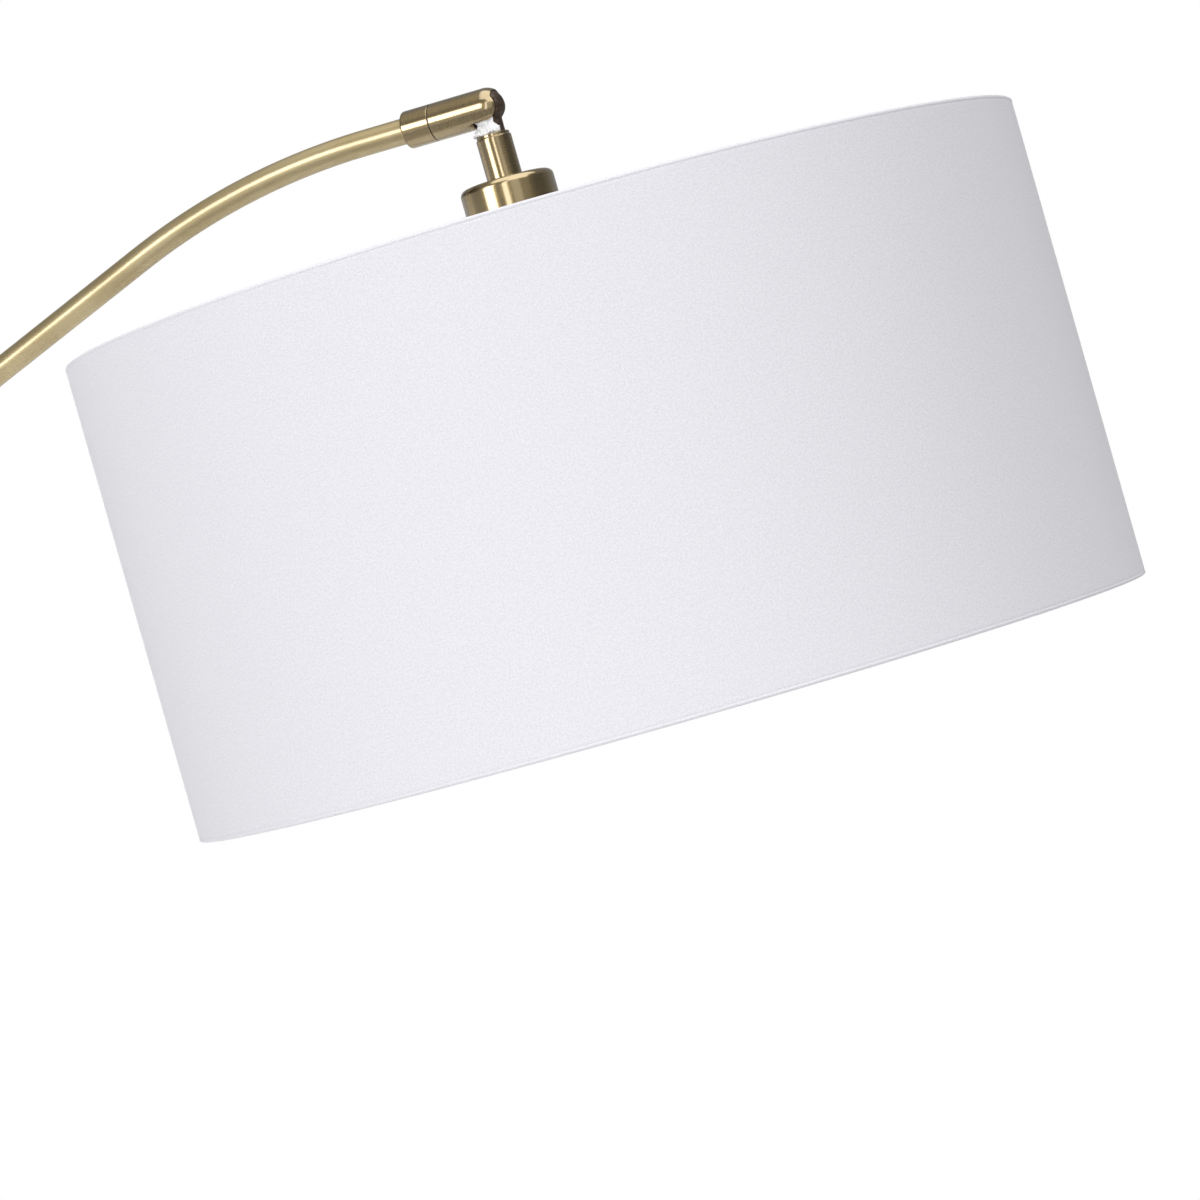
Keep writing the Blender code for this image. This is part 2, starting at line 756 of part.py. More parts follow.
def make_neck(neck):
    floor_top, hole = CUP_TOP + 0.0033, 0.0038
    bottom = CUP_TOP + GAP
    turned(
        "neck_tube",
        [
            (NECK_BORE, NECK_TOP),
            (NECK_RADIUS - 0.0005, NECK_TOP),
            (NECK_RADIUS - 0.0004, NECK_TOP - 0.0011),
            (NECK_RADIUS, NECK_TOP - 0.0014),
            (NECK_RADIUS, bottom),
            (hole, bottom),
            (hole, floor_top),
            (NECK_BORE, floor_top),
        ],
        BRASS,
        neck,
    )
    lip_bottom, lip_top = NECK_TOP + GAP, NECK_TOP + GAP + 0.0005
    wall_outside, wall_inside = NECK_BORE - GAP, NECK_BORE - GAP - 0.0005
    bush = turned(
        "neck_bush",
        [
            (wall_inside, lip_top),
            (NECK_RADIUS - 0.0007, lip_top),
            (NECK_RADIUS - 0.0007, lip_bottom),
            (wall_outside, lip_bottom),
            (wall_outside, NECK_TOP - 0.0030),
            (wall_inside, NECK_TOP - 0.0030),
        ],
        WHITE_NYLON,
        neck,
    )
    open_side = block_cutter("bush_opening", (0.0030, -FAR, -FAR), (FAR, FAR, 0.0), neck)
    boolean(bush, open_side)
    nipple = sleeve(0.0035, 0.0026, CUP_TOP + 0.0055, CUP_TOP - 0.0100)
    turned("neck_nipple", nipple, STEEL, neck, HIDDEN_STEPS)
    cup_floor = CUP_TOP - SHEET_WALL
    nut("neck_lock_nut", 0.012, hole, cup_floor - GAP, cup_floor - GAP - 0.0040, STEEL, neck)


def make_cup(neck):
    """The spun cup over the socket, with a flat top and a round shoulder."""
    shoulder, steps = 0.0030, 4
    outer = [(0.0038, CUP_TOP)]
    inner = [(0.0038, CUP_TOP - SHEET_WALL)]
    centre = (CUP_RADIUS - shoulder, CUP_TOP - shoulder)
    for i in range(steps + 1):
        angle = math.pi / 2 * (1 - i / steps)
        for side, radius in ((outer, shoulder), (inner, shoulder - SHEET_WALL)):
            side.append(
                (centre[0] + radius * math.cos(angle), centre[1] + radius * math.sin(angle))
            )
    bottom = CUP_TOP - CUP_HEIGHT
    outer.append((CUP_RADIUS, bottom))
    inner.append((CUP_RADIUS - SHEET_WALL, bottom))
    turned("socket_cup", outer + inner[::-1], BRASS, neck, WIDE_STEPS)


def make_socket(neck):
    turned(
        "socket_bracket",
        sleeve(0.0120, 0.0038, CUP_TOP - 0.0078, CUP_TOP - 0.0090),
        STEEL,
        neck,
        HIDDEN_STEPS,
    )
    body_radius, mouth = 0.0170, 0.0142
    body = turned(
        "socket_body",
        [
            (0.0046, SOCKET_TOP),
            (body_radius - 0.001, SOCKET_TOP),
            (body_radius, SOCKET_TOP - 0.001),
            (body_radius, SOCKET_FLANGE),
            (0.0205, SOCKET_FLANGE),
            (0.0205, SOCKET_FLANGE - FLANGE),
            (SKIRT_RADIUS, SOCKET_FLANGE - FLANGE),
            (SKIRT_RADIUS, SOCKET_BOTTOM + 0.0008),
            (SKIRT_RADIUS - 0.0008, SOCKET_BOTTOM),
            (mouth, SOCKET_BOTTOM),
            (mouth, SOCKET_FLOOR),
            (0.0046, SOCKET_FLOOR),
        ],
        PHENOLIC,
        neck,
        steps=32,
    )
    hole = rod_cutter("shaft_hole", 0.0023, 0.0120, 0.0200, neck, direction="X")
    hole.location.z = KNOB_AT
    boolean(body, hole)
    turned(
        "socket_shell",
        [
            (0.0139, SOCKET_FLOOR - 0.0015),
            (0.0139, SOCKET_BOTTOM + 0.0010),
            (0.0134, SOCKET_BOTTOM + 0.0010),
            (0.0134, SOCKET_FLOOR - 0.0020),
            (0.0080, SOCKET_FLOOR - 0.0020),
            (0.0080, SOCKET_FLOOR - 0.0015),
        ],
        SHELL_METAL,
        neck,
    )
    turned(
        "socket_contact",
        [
            (0.0, SOCKET_FLOOR + 0.0015),
            (0.0040, SOCKET_FLOOR + 0.0015),
            (0.0040, SOCKET_FLOOR - 0.0010),
            (0.0020, SOCKET_FLOOR - 0.0022),
            (0.0, SOCKET_FLOOR - 0.0022),
        ],
        SHELL_METAL,
        neck,
        steps=20,
    )
    thread_clear, grip, lip = SKIRT_RADIUS + GAP, 0.0212, 0.0226
    top = PLATE_TOP - PLATE - GAP
    turned(
        "shade_retaining_ring",
        [
            (thread_clear, top),
            (lip, top),
            (lip, top - 0.0016),
            (grip, top - 0.0026),
            (grip, top - 0.0085),
            (grip - 0.0008, top - 0.0093),
            (thread_clear, top - 0.0093),
        ],
        WHITE_NYLON,
        neck,
        steps=32,
    )


def make_switch(switch):
    """The turn knob on its shaft. Local Z runs out of the socket."""
    shaft = [(0.0, 0.0300), (0.0020, 0.0300), (0.0020, 0.0125), (0.0, 0.0125)]
    turned("switch_shaft", shaft, STEEL, switch, steps=20)
    knob = turned(
        "switch_knob",
        [
            (0.0, 0.0370),
            (0.0042, 0.0370),
            (0.0052, 0.0362),
            (0.0056, 0.0300),
            (0.0050, 0.0242),
            (0.0044, 0.0234),
            (0.0023, 0.0234),
            (0.0023, 0.0303),
            (0.0, 0.0303),
        ],
        BLACK,
        switch,
        steps=24,
    )
    flutes, flute_radius, flute_circle = 8, 0.0009, 0.0062
    for i in range(flutes):
        angle = 2 * math.pi * i / flutes
        groove = rod_cutter(f"knob_flute_{i + 1}", flute_radius, 0.0255, 0.0400, switch, sides=8)
        groove.location.x = flute_circle * math.cos(angle)
        groove.location.y = flute_circle * math.sin(angle)
        boolean(knob, groove)


def make_cores(tilt):
    """The two insulated cores that leave the housing, cross the gap and go down the neck to the socket."""
    route = [
        (-0.0150, 0.0004),
        (-0.0118, 0.0001),
        (-0.0090, -0.0007),
        (-0.0066, -0.0024),
        (-0.0051, -0.0048),
        (-0.0045, -0.0072),
        (-0.0040, -0.0096),
        (-0.0037, -0.0120),
        (-0.0034, -0.0150),
        (-0.0030, -0.0185),
        (-0.0026, -0.0212),
        (-0.0018, -0.0232),
        (NECK_OFF_CENTRE, -0.0250),
        (NECK_OFF_CENTRE, CUP_TOP - 0.0106),
    ]
    for name, side in (("lead_core_live", -1), ("lead_core_neutral", 1)):
        y = side * (CORE_RADIUS + 0.00018)
        points = [Vector((x, y, z)) for x, z in route]
        add(name, path_curve(name, points, CORE_RADIUS, 2), CORE_WHITE, tilt)


# ---------------------------------------------------------------- bulb


def make_bulb(neck):
    cap_radius, cap_top = 0.0131, SOCKET_FLOOR - 0.0055
    cap_bottom = SOCKET_BOTTOM - 0.0010
    turned(
        "bulb_cap",
        [
            (0.0048, cap_top),
            (0.0100, cap_top),
            (cap_radius, cap_top - 0.0030),
            (cap_radius, cap_bottom),
            (cap_radius - 0.0006, cap_bottom),
            (cap_radius - 0.0006, cap_top - 0.0034),
            (0.0098, cap_top - 0.0008),
            (0.0048, cap_top - 0.0008),
        ],
        CAP_METAL,
        neck,
    )
    turned(
        "bulb_contact",
        [
            (0.0, SOCKET_FLOOR - 0.0025),
            (0.0030, SOCKET_FLOOR - 0.0030),
            (0.0044, SOCKET_FLOOR - 0.0050),
            (0.0044, cap_top - 0.0020),
            (0.0, cap_top - 0.0020),
        ],
        CAP_METAL,
        neck,
        steps=20,
    )
    make_bulb_glass(neck, cap_bottom)


def make_bulb_glass(axis, cap_bottom):
    """The pear-shaped bulb: a straight neck that eases out to a round end."""
    neck, globe, wall = 0.0122, 0.0300, 0.0008
    neck_top, neck_end, globe_middle = cap_bottom + 0.012, cap_bottom - 0.002, -0.1400
    ease_steps, dome_steps = 5, 5

    def side(shrink):
        points = [(neck - shrink, neck_top)]
        for i in range(ease_steps + 1):
            share = i / ease_steps
            radius = neck + (globe - neck) * (1 - math.cos(math.pi * share)) / 2
            points.append((radius - shrink, neck_end + (globe_middle - neck_end) * share))
        for i in range(1, dome_steps + 1):
            angle = math.pi / 2 * i / dome_steps
            radius = (globe - shrink) * math.cos(angle)
            points.append((radius, globe_middle - (globe - shrink) * math.sin(angle)))
        points[-1] = (0.0, points[-1][1])
        return points

    turned("bulb_glass", side(wall)[::-1] + side(0.0), OPAL_GLASS, axis, steps=ROUND_STEPS)


# ---------------------------------------------------------------- shade


def make_shade(neck, shade):
    """The cloth, its liner and the hoops. The shade's own empty stands off the neck's axis."""
    bottom = SHADE_TOP - SHADE_HEIGHT
    inside = SHADE_RADIUS - CLOTH
    turned(
        "shade_fabric",
        sleeve(SHADE_RADIUS, inside, SHADE_TOP, bottom),
        LINEN,
        shade,
        steps=SHADE_STEPS,
    )
    liner = inside - GAP
    edge = 0.0004
    turned(
        "shade_liner",
        sleeve(liner, liner - CLOTH, SHADE_TOP - edge, bottom + edge),
        STYRENE,
        shade,
        steps=SHADE_STEPS,
    )
    ring_radius = liner - CLOTH - GAP - RING_WIRE
    ring_inset = edge + RING_WIRE
    ring("shade_bottom_ring", ring_radius, RING_WIRE, bottom + ring_inset, WHITE_WIRE, shade)
    make_spider(neck, shade, ring_radius, SHADE_TOP - ring_inset)


def make_spider(neck, shade, ring_radius, ring_height):
    """The shade's frame: a plate round the socket, three spokes and the top hoop, welded up."""
    inner, outer = SKIRT_RADIUS + GAP, 0.0262
    spider = turned(
        "shade_spider",
        sleeve(outer, inner, PLATE_TOP, PLATE_TOP - PLATE),
        WHITE_WIRE,
        neck,
        WIDE_STEPS,
    )
    boolean(
        spider,
        ring("shade_top_hoop", ring_radius, RING_WIRE, ring_height, None, shade, CUTTERS),
        "UNION",
    )
    plate_middle = PLATE_TOP - PLATE / 2
    plate_weld = 0.0027  # overlap of a spoke on the plate
    rise = [(0.030, 0.0), (0.020, 0.0006), (0.010, 0.0030)]  # in from the hoop, up from the plate
    for i in range(SPOKES):
        angle = math.pi / 2 + 2 * math.pi * i / SPOKES
        ray = Vector((math.cos(angle), math.sin(angle), 0.0))
        centre = Vector((SHADE_OFF_CENTRE, 0.0, 0.0))
        points = [ray * (outer - plate_weld) + Vector((0.0, 0.0, plate_middle))]
        for inward, up in rise:
            points.append(centre + ray * (ring_radius - inward))
            points[-1].z = plate_middle + up
        for inward, height in ((0.003, ring_height - 0.0022), (0.0002, ring_height)):
            points.append(centre + ray * (ring_radius - inward))
            points[-1].z = height
        name = f"shade_spoke_{i + 1}"
        spoke = add(name, path_curve(name, points, SPOKE_RADIUS, 2), None, neck, CUTTERS)
        boolean(spider, as_mesh(spoke, CUTTERS), "UNION")


# ---------------------------------------------------------------- assembly


def make_lamp():
    make_base()
    make_pole()
    make_arm()
    make_lead()
    arm_end = new_empty("arm_end", PIN, math.pi / 2 - TIP_SLOPE)
    make_arm_end(arm_end)
    swivel = new_empty("swivel_axis", parent=arm_end)
    make_housing(swivel)
    tilt = new_empty("tilt_axis", turn=TIP_SLOPE - HEAD_TILT - math.pi / 2, parent=swivel)
    neck = new_empty("neck_axis", (NECK_OFF_CENTRE, 0.0, 0.0), parent=tilt)
    make_tongue(tilt, neck)
    make_neck(neck)
    make_cup(neck)
    make_socket(neck)
    make_cores(tilt)
    make_bulb(neck)
    make_shade(neck, new_empty("shade_axis", (SHADE_OFF_CENTRE, 0.0, 0.0), parent=neck))
    switch = new_empty("switch_axis", (0.0, 0.0, KNOB_AT), math.pi / 2, neck)
    make_switch(switch)


make_lamp()
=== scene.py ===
"""The looks of the arc floor lamp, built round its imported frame. Metres throughout, +Z up.

The head's own frame has its origin on the cross pin, Z up the neck and X outward from the arm.
The arm end's frame has the same origin, Z along the arm towards the pin and X downward.
"""

import json
import math

import bmesh
import bpy
import numpy as np
from mathutils import Matrix, Vector, noise


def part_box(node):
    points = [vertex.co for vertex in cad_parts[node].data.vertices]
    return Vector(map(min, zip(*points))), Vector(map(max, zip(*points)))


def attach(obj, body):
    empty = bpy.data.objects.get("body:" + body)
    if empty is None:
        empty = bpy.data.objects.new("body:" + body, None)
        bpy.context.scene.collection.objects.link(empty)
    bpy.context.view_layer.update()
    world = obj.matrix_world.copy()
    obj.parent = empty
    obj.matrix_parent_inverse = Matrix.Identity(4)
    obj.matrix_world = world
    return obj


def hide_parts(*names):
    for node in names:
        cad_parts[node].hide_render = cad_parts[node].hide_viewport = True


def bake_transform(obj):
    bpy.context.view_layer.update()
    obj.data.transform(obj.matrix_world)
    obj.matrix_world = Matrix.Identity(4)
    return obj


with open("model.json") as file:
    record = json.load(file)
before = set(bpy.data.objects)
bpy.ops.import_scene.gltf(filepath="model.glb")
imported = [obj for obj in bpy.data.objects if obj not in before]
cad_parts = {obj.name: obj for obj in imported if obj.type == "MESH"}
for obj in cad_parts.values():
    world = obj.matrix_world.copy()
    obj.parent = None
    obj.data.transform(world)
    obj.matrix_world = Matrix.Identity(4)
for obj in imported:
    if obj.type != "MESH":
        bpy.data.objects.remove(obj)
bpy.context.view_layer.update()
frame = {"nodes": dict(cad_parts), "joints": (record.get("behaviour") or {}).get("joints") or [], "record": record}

# ---------------------------------------------------------------- the lamp's own sizes

ARM_RADIUS = 0.0055
ARM_BEND_HEIGHT = 0.960
ARM_BEND_RADIUS = 0.600
ARM_SLOPE = math.radians(35.6)
ARM_STRAIGHT = 0.250
TIP_BEND_RADIUS = 0.335
TIP_SLOPE = math.radians(15.3)
TIP_LENGTH = 0.0584

KNUCKLE_RADIUS = 0.008
SEAM_FROM_PIN = 0.0247
COLLAR_LENGTH = 0.0129
TONGUE_RADIUS = 0.0073
POCKET_RADIUS = 0.0076
SLOT_HALF_WIDTH = 0.0055
SLOT_ROOF = 0.0045

NECK_OFF_CENTRE = -0.0012  # the neck's axis passes this far inward of the cross pin
NECK_RADIUS = 0.0075
NECK_BORE = 0.0065
NECK_TOP = -0.0115
CUP_TOP = -0.0310
CUP_RADIUS = 0.0200
CUP_HEIGHT = 0.022
SOCKET_TOP = -0.0425
SOCKET_FLOOR = -0.0607
SOCKET_FLANGE = -0.0672
SOCKET_BOTTOM = -0.0887
KNOB_AT = -0.0572
PLATE_TOP = SOCKET_FLANGE - 0.0023
PLATE = 0.0020
SHADE_OFF_CENTRE = 0.0072  # the shade's middle stands this far outward of the neck's axis
SHADE_TOP = -0.0582
SHADE_RADIUS = 0.203
SHADE_HEIGHT = 0.202
CLOTH = 0.0005
RING_WIRE = 0.0016
GAP = 0.0003

POLE_RADIUS = 0.011
COVER_RADIUS = 0.140
GLAND_HEIGHT = 0.007

SHADE_BOTTOM = SHADE_TOP - SHADE_HEIGHT
RING_RADIUS = SHADE_RADIUS - 2 * CLOTH - 2 * GAP - RING_WIRE
RING_INSET = 0.0004 + RING_WIRE
TURN_IN = 0.0085  # how far the cloth is turned in behind each hoop
SUNK = 0.00012  # the wall lies this far inside the rolled edges
EDGE_ZONE = 0.0026
ROLL = [  # the rolled edge: how far in from the shade's radius, and how far from its end
    (SUNK, 0.0021), (0.00026, 0.0017), (0.00022, 0.0015), (0.00004, 0.00125), (0.0, 0.0010),
    (0.00006, 0.0007), (0.00024, 0.0004), (0.00052, 0.00017), (0.0009, 0.00004), (0.0014, 0.0),
    (0.0024, 0.0),
]
SHADE_STEPS = 360
SEAM_ANGLE = math.radians(100)
SEAM_LAP = 0.010
CIRCUMFERENCE = 2 * math.pi * SHADE_RADIUS
THREADS_ROUND = 2560  # threads of the cloth round the shade, an even number so that the weave meets
BRUSH_LINES = 6500.0  # brush marks to the metre, across the brushing

# ---------------------------------------------------------------- camera and light

VIEW_AZIMUTH = math.radians(22.0)
VIEW_ELEVATION = math.radians(7.06)
LENS = 135.5
CAMERA_BACK = 1.875
CAMERA_RIGHT = 0.0467
CAMERA_DOWN = 0.2047

SIDE_GREY, CEILING, FLOOR_FAR, FLOOR_NEAR, BACKDROP = 0.30, 0.30, 0.67, 0.32, 0.35
DARK_SIDES = (  # azimuth, brightness, and how near its middle a side starts to darken
    (-112, 0.08, 0.72),
    (82, 0.13, 0.60),
)
SOFT_BOXES = (  # brightness, then azimuth, elevation, half width and half height
    (6.2, (-48, 6, 12.5, 12)),  # the key, at the left
    (3.4, (-8, 9, 6, 22)),  # a tall strip beside the camera
    (0.85, (18, 12, 11, 26)),  # a broad dim fill at the right
    (2.35, (25, 50, 24, 17)),  # above right, for the shade's right half
    (1.7, (-115, -24, 14, 12)),  # low at the far left, for the shade's left edge
    (2.2, (-20, 80, 34, 34)),  # overhead
)

# ---------------------------------------------------------------- places

JOINTS = {joint["name"]: joint for joint in frame["joints"]}
PIN = Vector(JOINTS["head_tilt"]["pos_m"])
ALONG_ARM = Vector(JOINTS["head_swivel"]["axis"]).normalized()
OUTWARD = Vector(JOINTS["switch_turn"]["axis"]).normalized()
SIDE = Vector((0.0, 1.0, 0.0))


def along_z(distance):
    return Matrix.Translation((0.0, 0.0, distance))


def frame_of(x_axis, y_axis, z_axis, origin):
    place = Matrix((x_axis, y_axis, z_axis)).transposed().to_4x4()
    place.translation = origin
    return place


WORLD = Matrix.Identity(4)
HEAD = frame_of(OUTWARD, SIDE, OUTWARD.cross(SIDE), PIN)
ARM_END = frame_of(SIDE.cross(ALONG_ARM), SIDE, ALONG_ARM, PIN)
NECK = HEAD @ Matrix.Translation((NECK_OFF_CENTRE, 0.0, 0.0))
SHADE = NECK @ Matrix.Translation((SHADE_OFF_CENTRE, 0.0, 0.0))
Z_TO_X = Matrix.Rotation(math.pi / 2, 4, "Y")
Z_TO_Y = Matrix.Rotation(-math.pi / 2, 4, "X")
KNOB_HOLE = along_z(KNOB_AT) @ Z_TO_X
KNOB = NECK @ KNOB_HOLE
GLAND_TURN = along_z(GLAND_HEIGHT) @ Z_TO_X


# ---------------------------------------------------------------- materials


class Graph:
    """Adds nodes to one tree. An input is a number, a colour, a vector or another node's socket."""

    def __init__(self, tree):
        self.tree = tree

    def node(self, kind, settings=None, inputs=None):
        node = self.tree.nodes.new(kind)
        for key, value in (settings or {}).items():
            setattr(node, key, value)
        for key, value in (inputs or {}).items():
            self.feed(node.inputs[key], value)
        return node

    def feed(self, socket, value):
        if isinstance(value, bpy.types.NodeSocket):
            self.tree.links.new(value, socket)
        elif socket.type == "RGBA":
            socket.default_value = (*value[:3], 1.0)
        else:
            socket.default_value = value

    def math(self, operation, a, b=0.0):
        return self.node("ShaderNodeMath", {"operation": operation}, {0: a, 1: b}).outputs[0]

    def dot(self, a, b):
        settings = {"operation": "DOT_PRODUCT"}
        return self.node("ShaderNodeVectorMath", settings, {0: a, 1: b}).outputs["Value"]

    def ramp(self, value, low, high, new_low=0.0, new_high=1.0):
        """value eased from one range to another, and held at its ends."""
        settings = {"interpolation_type": "SMOOTHSTEP"}
        inputs = {0: value, 1: low, 2: high, 3: new_low, 4: new_high}
        return self.node("ShaderNodeMapRange", settings, inputs).outputs[0]

    def coordinate(self, name):
        return self.node("ShaderNodeTexCoord").outputs[name]

    def stretch(self, vector, scale):
        return self.node("ShaderNodeMapping", None, {"Vector": vector, "Scale": scale}).outputs[0]

    def noise(self, vector, scale=1.0, detail=2.0, roughness=0.5):
        inputs = {"Vector": vector, "Scale": scale, "Detail": detail, "Roughness": roughness}
        return self.node("ShaderNodeTexNoise", None, inputs).outputs[0]

    def mix(self, factor, a, b):
        inputs = {0: factor, 6: a, 7: b}
        return self.node("ShaderNodeMix", {"data_type": "RGBA"}, inputs).outputs[2]

    def blend(self, factor, a, b):
        inputs = {0: factor, 2: a, 3: b}
        return self.node("ShaderNodeMix", {"data_type": "FLOAT"}, inputs).outputs[0]

    def bump(self, height, distance, strength=1.0):
        inputs = {"Height": height, "Distance": distance, "Strength": strength}
        return self.node("ShaderNodeBump", None, inputs).outputs[0]


def new_material(name):
    material = bpy.data.materials.new(name)
    material.use_nodes = True
    return material, Graph(material.node_tree), material.node_tree.nodes["Principled BSDF"]


def set_shader(graph, shader, **inputs):
    for key, value in inputs.items():
        graph.feed(shader.inputs[key.replace("_", " ").title().replace("Ior", "IOR")], value)


def brushed_brass(name, turned, roughness, light, dark, coat):
    """Antique brass under clear lacquer, brushed round local Z if turned, and else round U."""
    material, g, shader = new_material(name)
    place = g.coordinate("Object") if turned else g.coordinate("UV")
    across = (60.0, 60.0, BRUSH_LINES) if turned else (60.0, BRUSH_LINES, 1.0)
    lines = g.noise(g.stretch(place, across), detail=2.0)
    body = g.coordinate("Object")
    patina = g.noise(body, 24.0, 4.0, 0.55)
    specks = g.ramp(g.noise(body, 1100.0, 2.0), 0.70, 0.78)
    tone = g.mix(g.ramp(patina, 0.36, 0.66), light, dark)
    tone = g.mix(g.ramp(lines, 0.35, 0.68, 0.0, 0.10), tone, (0.24, 0.17, 0.08))
    tone = g.mix(g.math("MULTIPLY", specks, 0.35), tone, (0.12, 0.08, 0.035))
    rough = g.ramp(lines, 0.3, 0.7, roughness - 0.03, roughness + 0.03)
    rough = g.math("ADD", rough, g.ramp(patina, 0.4, 0.7, 0.0, 0.03))
    set_shader(g, shader, base_color=tone, roughness=rough, metallic=1.0)
    set_shader(g, shader, anisotropic=0.5, anisotropic_rotation=0.25)
    set_shader(g, shader, coat_weight=coat, coat_roughness=0.06, coat_ior=1.9)
    settings = {"direction_type": "RADIAL", "axis": "Z"} if turned else {"direction_type": "UV_MAP"}
    g.feed(shader.inputs["Tangent"], g.node("ShaderNodeTangent", settings).outputs[0])
    g.feed(shader.inputs["Normal"], g.bump(lines, 0.000002, 0.2))
    return material


def cast_metal(name, colour, high, metallic, roughness, grain):
    """Rough cast or oxidised metal: mottled, pitted and dull."""
    material, g, shader = new_material(name)
    place = g.coordinate("Object")
    mottle = g.noise(place, grain * 0.35, 5.0, 0.65)
    pits = g.noise(place, grain, 4.0, 0.6)
    tone = g.mix(g.ramp(mottle, 0.35, 0.68), colour, high)
    tone = g.mix(g.ramp(pits, 0.55, 0.72, 0.0, 0.7), tone, [0.35 * c for c in colour])
    rough = g.ramp(pits, 0.3, 0.7, roughness - 0.12, roughness + 0.14)
    set_shader(g, shader, base_color=tone, metallic=metallic, roughness=rough)
    g.feed(shader.inputs["Normal"], g.bump(pits, 0.00012, 0.8))
    return material


def plated_metal(name, colour, roughness):
    """Bright plated or drawn sheet metal with fine handling marks."""
    material, g, shader = new_material(name)
    place = g.coordinate("Object")
    cloud = g.noise(place, 160.0, 4.0, 0.55)
    scratches = g.noise(g.stretch(place, (220.0, 3600.0, 3600.0)), detail=2.0)
    tone = g.mix(g.ramp(cloud, 0.35, 0.7), colour, [0.72 * c for c in colour])
    rough = g.ramp(scratches, 0.35, 0.7, roughness - 0.07, roughness + 0.12)
    set_shader(g, shader, base_color=tone, metallic=1.0, roughness=rough)
    g.feed(shader.inputs["Normal"], g.bump(scratches, 0.00002, 0.4))
    return material


def moulded_plastic(name, colour, roughness, grain=2400.0, depth=0.00002, sheen=0.0):
    """Plastic, paint and rubber: a fine skin grain and faint clouds of colour."""
    material, g, shader = new_material(name)
    place = g.coordinate("Object")
    skin = g.noise(place, grain, 3.0, 0.6)
    cloud = g.noise(place, grain / 40.0, 3.0)
    tone = g.mix(g.ramp(cloud, 0.35, 0.7), colour, [0.88 * c for c in colour])
    rough = g.ramp(skin, 0.3, 0.7, roughness - 0.06, roughness + 0.08)
    set_shader(g, shader, base_color=tone, roughness=rough, sheen_weight=sheen)
    g.feed(shader.inputs["Normal"], g.bump(skin, depth, 0.6))
    return material


def linen(name, circumference):
    """Plain-woven cloth. U runs round the shade and V up it, both in metres."""
    material, g, shader = new_material(name)
    uv = g.coordinate("UV")
    wander = g.noise(g.stretch(uv, (260.0, 260.0, 1.0)), detail=2.0)
    wander = g.math("MULTIPLY", g.math("SUBTRACT", wander, 0.5), 1.8)
    split = g.node("ShaderNodeSeparateXYZ", None, {0: uv})
    pitch = circumference / THREADS_ROUND
    waves = []
    for axis in (0, 1):
        turns = g.math("ADD", g.math("MULTIPLY", split.outputs[axis], math.pi / pitch), wander)
        waves.append(g.math("SINE", turns))
    weave = g.math("MULTIPLY", waves[0], waves[1])
    weft = g.noise(g.stretch(uv, (380.0, 1500.0, 1.0)), detail=3.0, roughness=0.6)
    warp = g.noise(g.stretch(uv, (1500.0, 420.0, 1.0)), detail=3.0, roughness=0.6)
    grain = g.noise(g.stretch(uv, (1250.0, 1250.0, 1.0)), detail=4.0, roughness=0.65)
    threads = g.math("ADD", g.math("MULTIPLY", weft, 0.5), g.math("MULTIPLY", warp, 0.5))
    slub = g.ramp(weft, 0.68, 0.80)
    height = g.math("ADD", g.math("MULTIPLY", weave, 0.20), threads)
    height = g.math("ADD", height, grain)
    cloth, shadow = (0.775, 0.78, 0.825), (0.65, 0.655, 0.70)
    tone = g.mix(g.ramp(grain, 0.30, 0.62), shadow, cloth)
    tone = g.mix(g.ramp(threads, 0.34, 0.60, 0.45, 0.0), tone, shadow)
    tone = g.mix(g.ramp(weave, -0.8, 0.8, 0.25, 0.0), tone, shadow)
    tone = g.mix(g.math("MULTIPLY", slub, 0.4), tone, (0.81, 0.815, 0.85))
    set_shader(g, shader, base_color=tone, roughness=0.88, sheen_weight=0.15, sheen_roughness=0.6)
    set_shader(g, shader, specular_ior_level=0.2)
    g.feed(shader.inputs["Normal"], g.bump(height, 0.00010, 0.6))
    return material


def felt_cloth(name):
    material, g, shader = new_material(name)
    place = g.coordinate("Object")
    fibres = g.noise(place, 1400.0, 5.0, 0.75)
    clumps = g.noise(place, 120.0, 3.0)
    tone = g.mix(g.ramp(fibres, 0.3, 0.7), (0.012, 0.012, 0.013), (0.075, 0.075, 0.08))
    tone = g.mix(g.ramp(clumps, 0.4, 0.7, 0.0, 0.35), tone, (0.03, 0.03, 0.03))
    set_shader(g, shader, base_color=tone, roughness=0.97, sheen_weight=0.35)
    g.feed(shader.inputs["Normal"], g.bump(fibres, 0.0003, 0.9))
    return material


def opal_glass(name):
    material, g, shader = new_material(name)
    place = g.coordinate("Object")
    cloud = g.noise(place, 45.0, 3.0)
    tone = g.mix(g.ramp(cloud, 0.35, 0.7), (0.90, 0.90, 0.885), (0.84, 0.84, 0.83))
    rough = g.ramp(g.noise(place, 700.0, 2.0), 0.3, 0.7, 0.10, 0.17)
    set_shader(g, shader, base_color=tone, roughness=rough)
    set_shader(g, shader, subsurface_weight=0.25, subsurface_scale=0.006)
    set_shader(g, shader, coat_weight=0.4, coat_roughness=0.05)
    return material


def studio_floor(name, solid, clear):
    """Plain pale paint that thins away to nothing well clear of the lamp."""
    material, g, shader = new_material(name)
    place = g.coordinate("Object")
    away = g.node("ShaderNodeVectorMath", {"operation": "LENGTH"}, {0: place}).outputs["Value"]
    mottle = g.ramp(g.noise(place, 3.0, 4.0), 0.3, 0.7)
    tone = g.mix(mottle, (0.86, 0.86, 0.86), (0.88, 0.88, 0.88))
    fade = g.ramp(away, solid, clear, 1.0, 0.0)
    set_shader(g, shader, base_color=tone, roughness=0.75, alpha=fade)
    return material


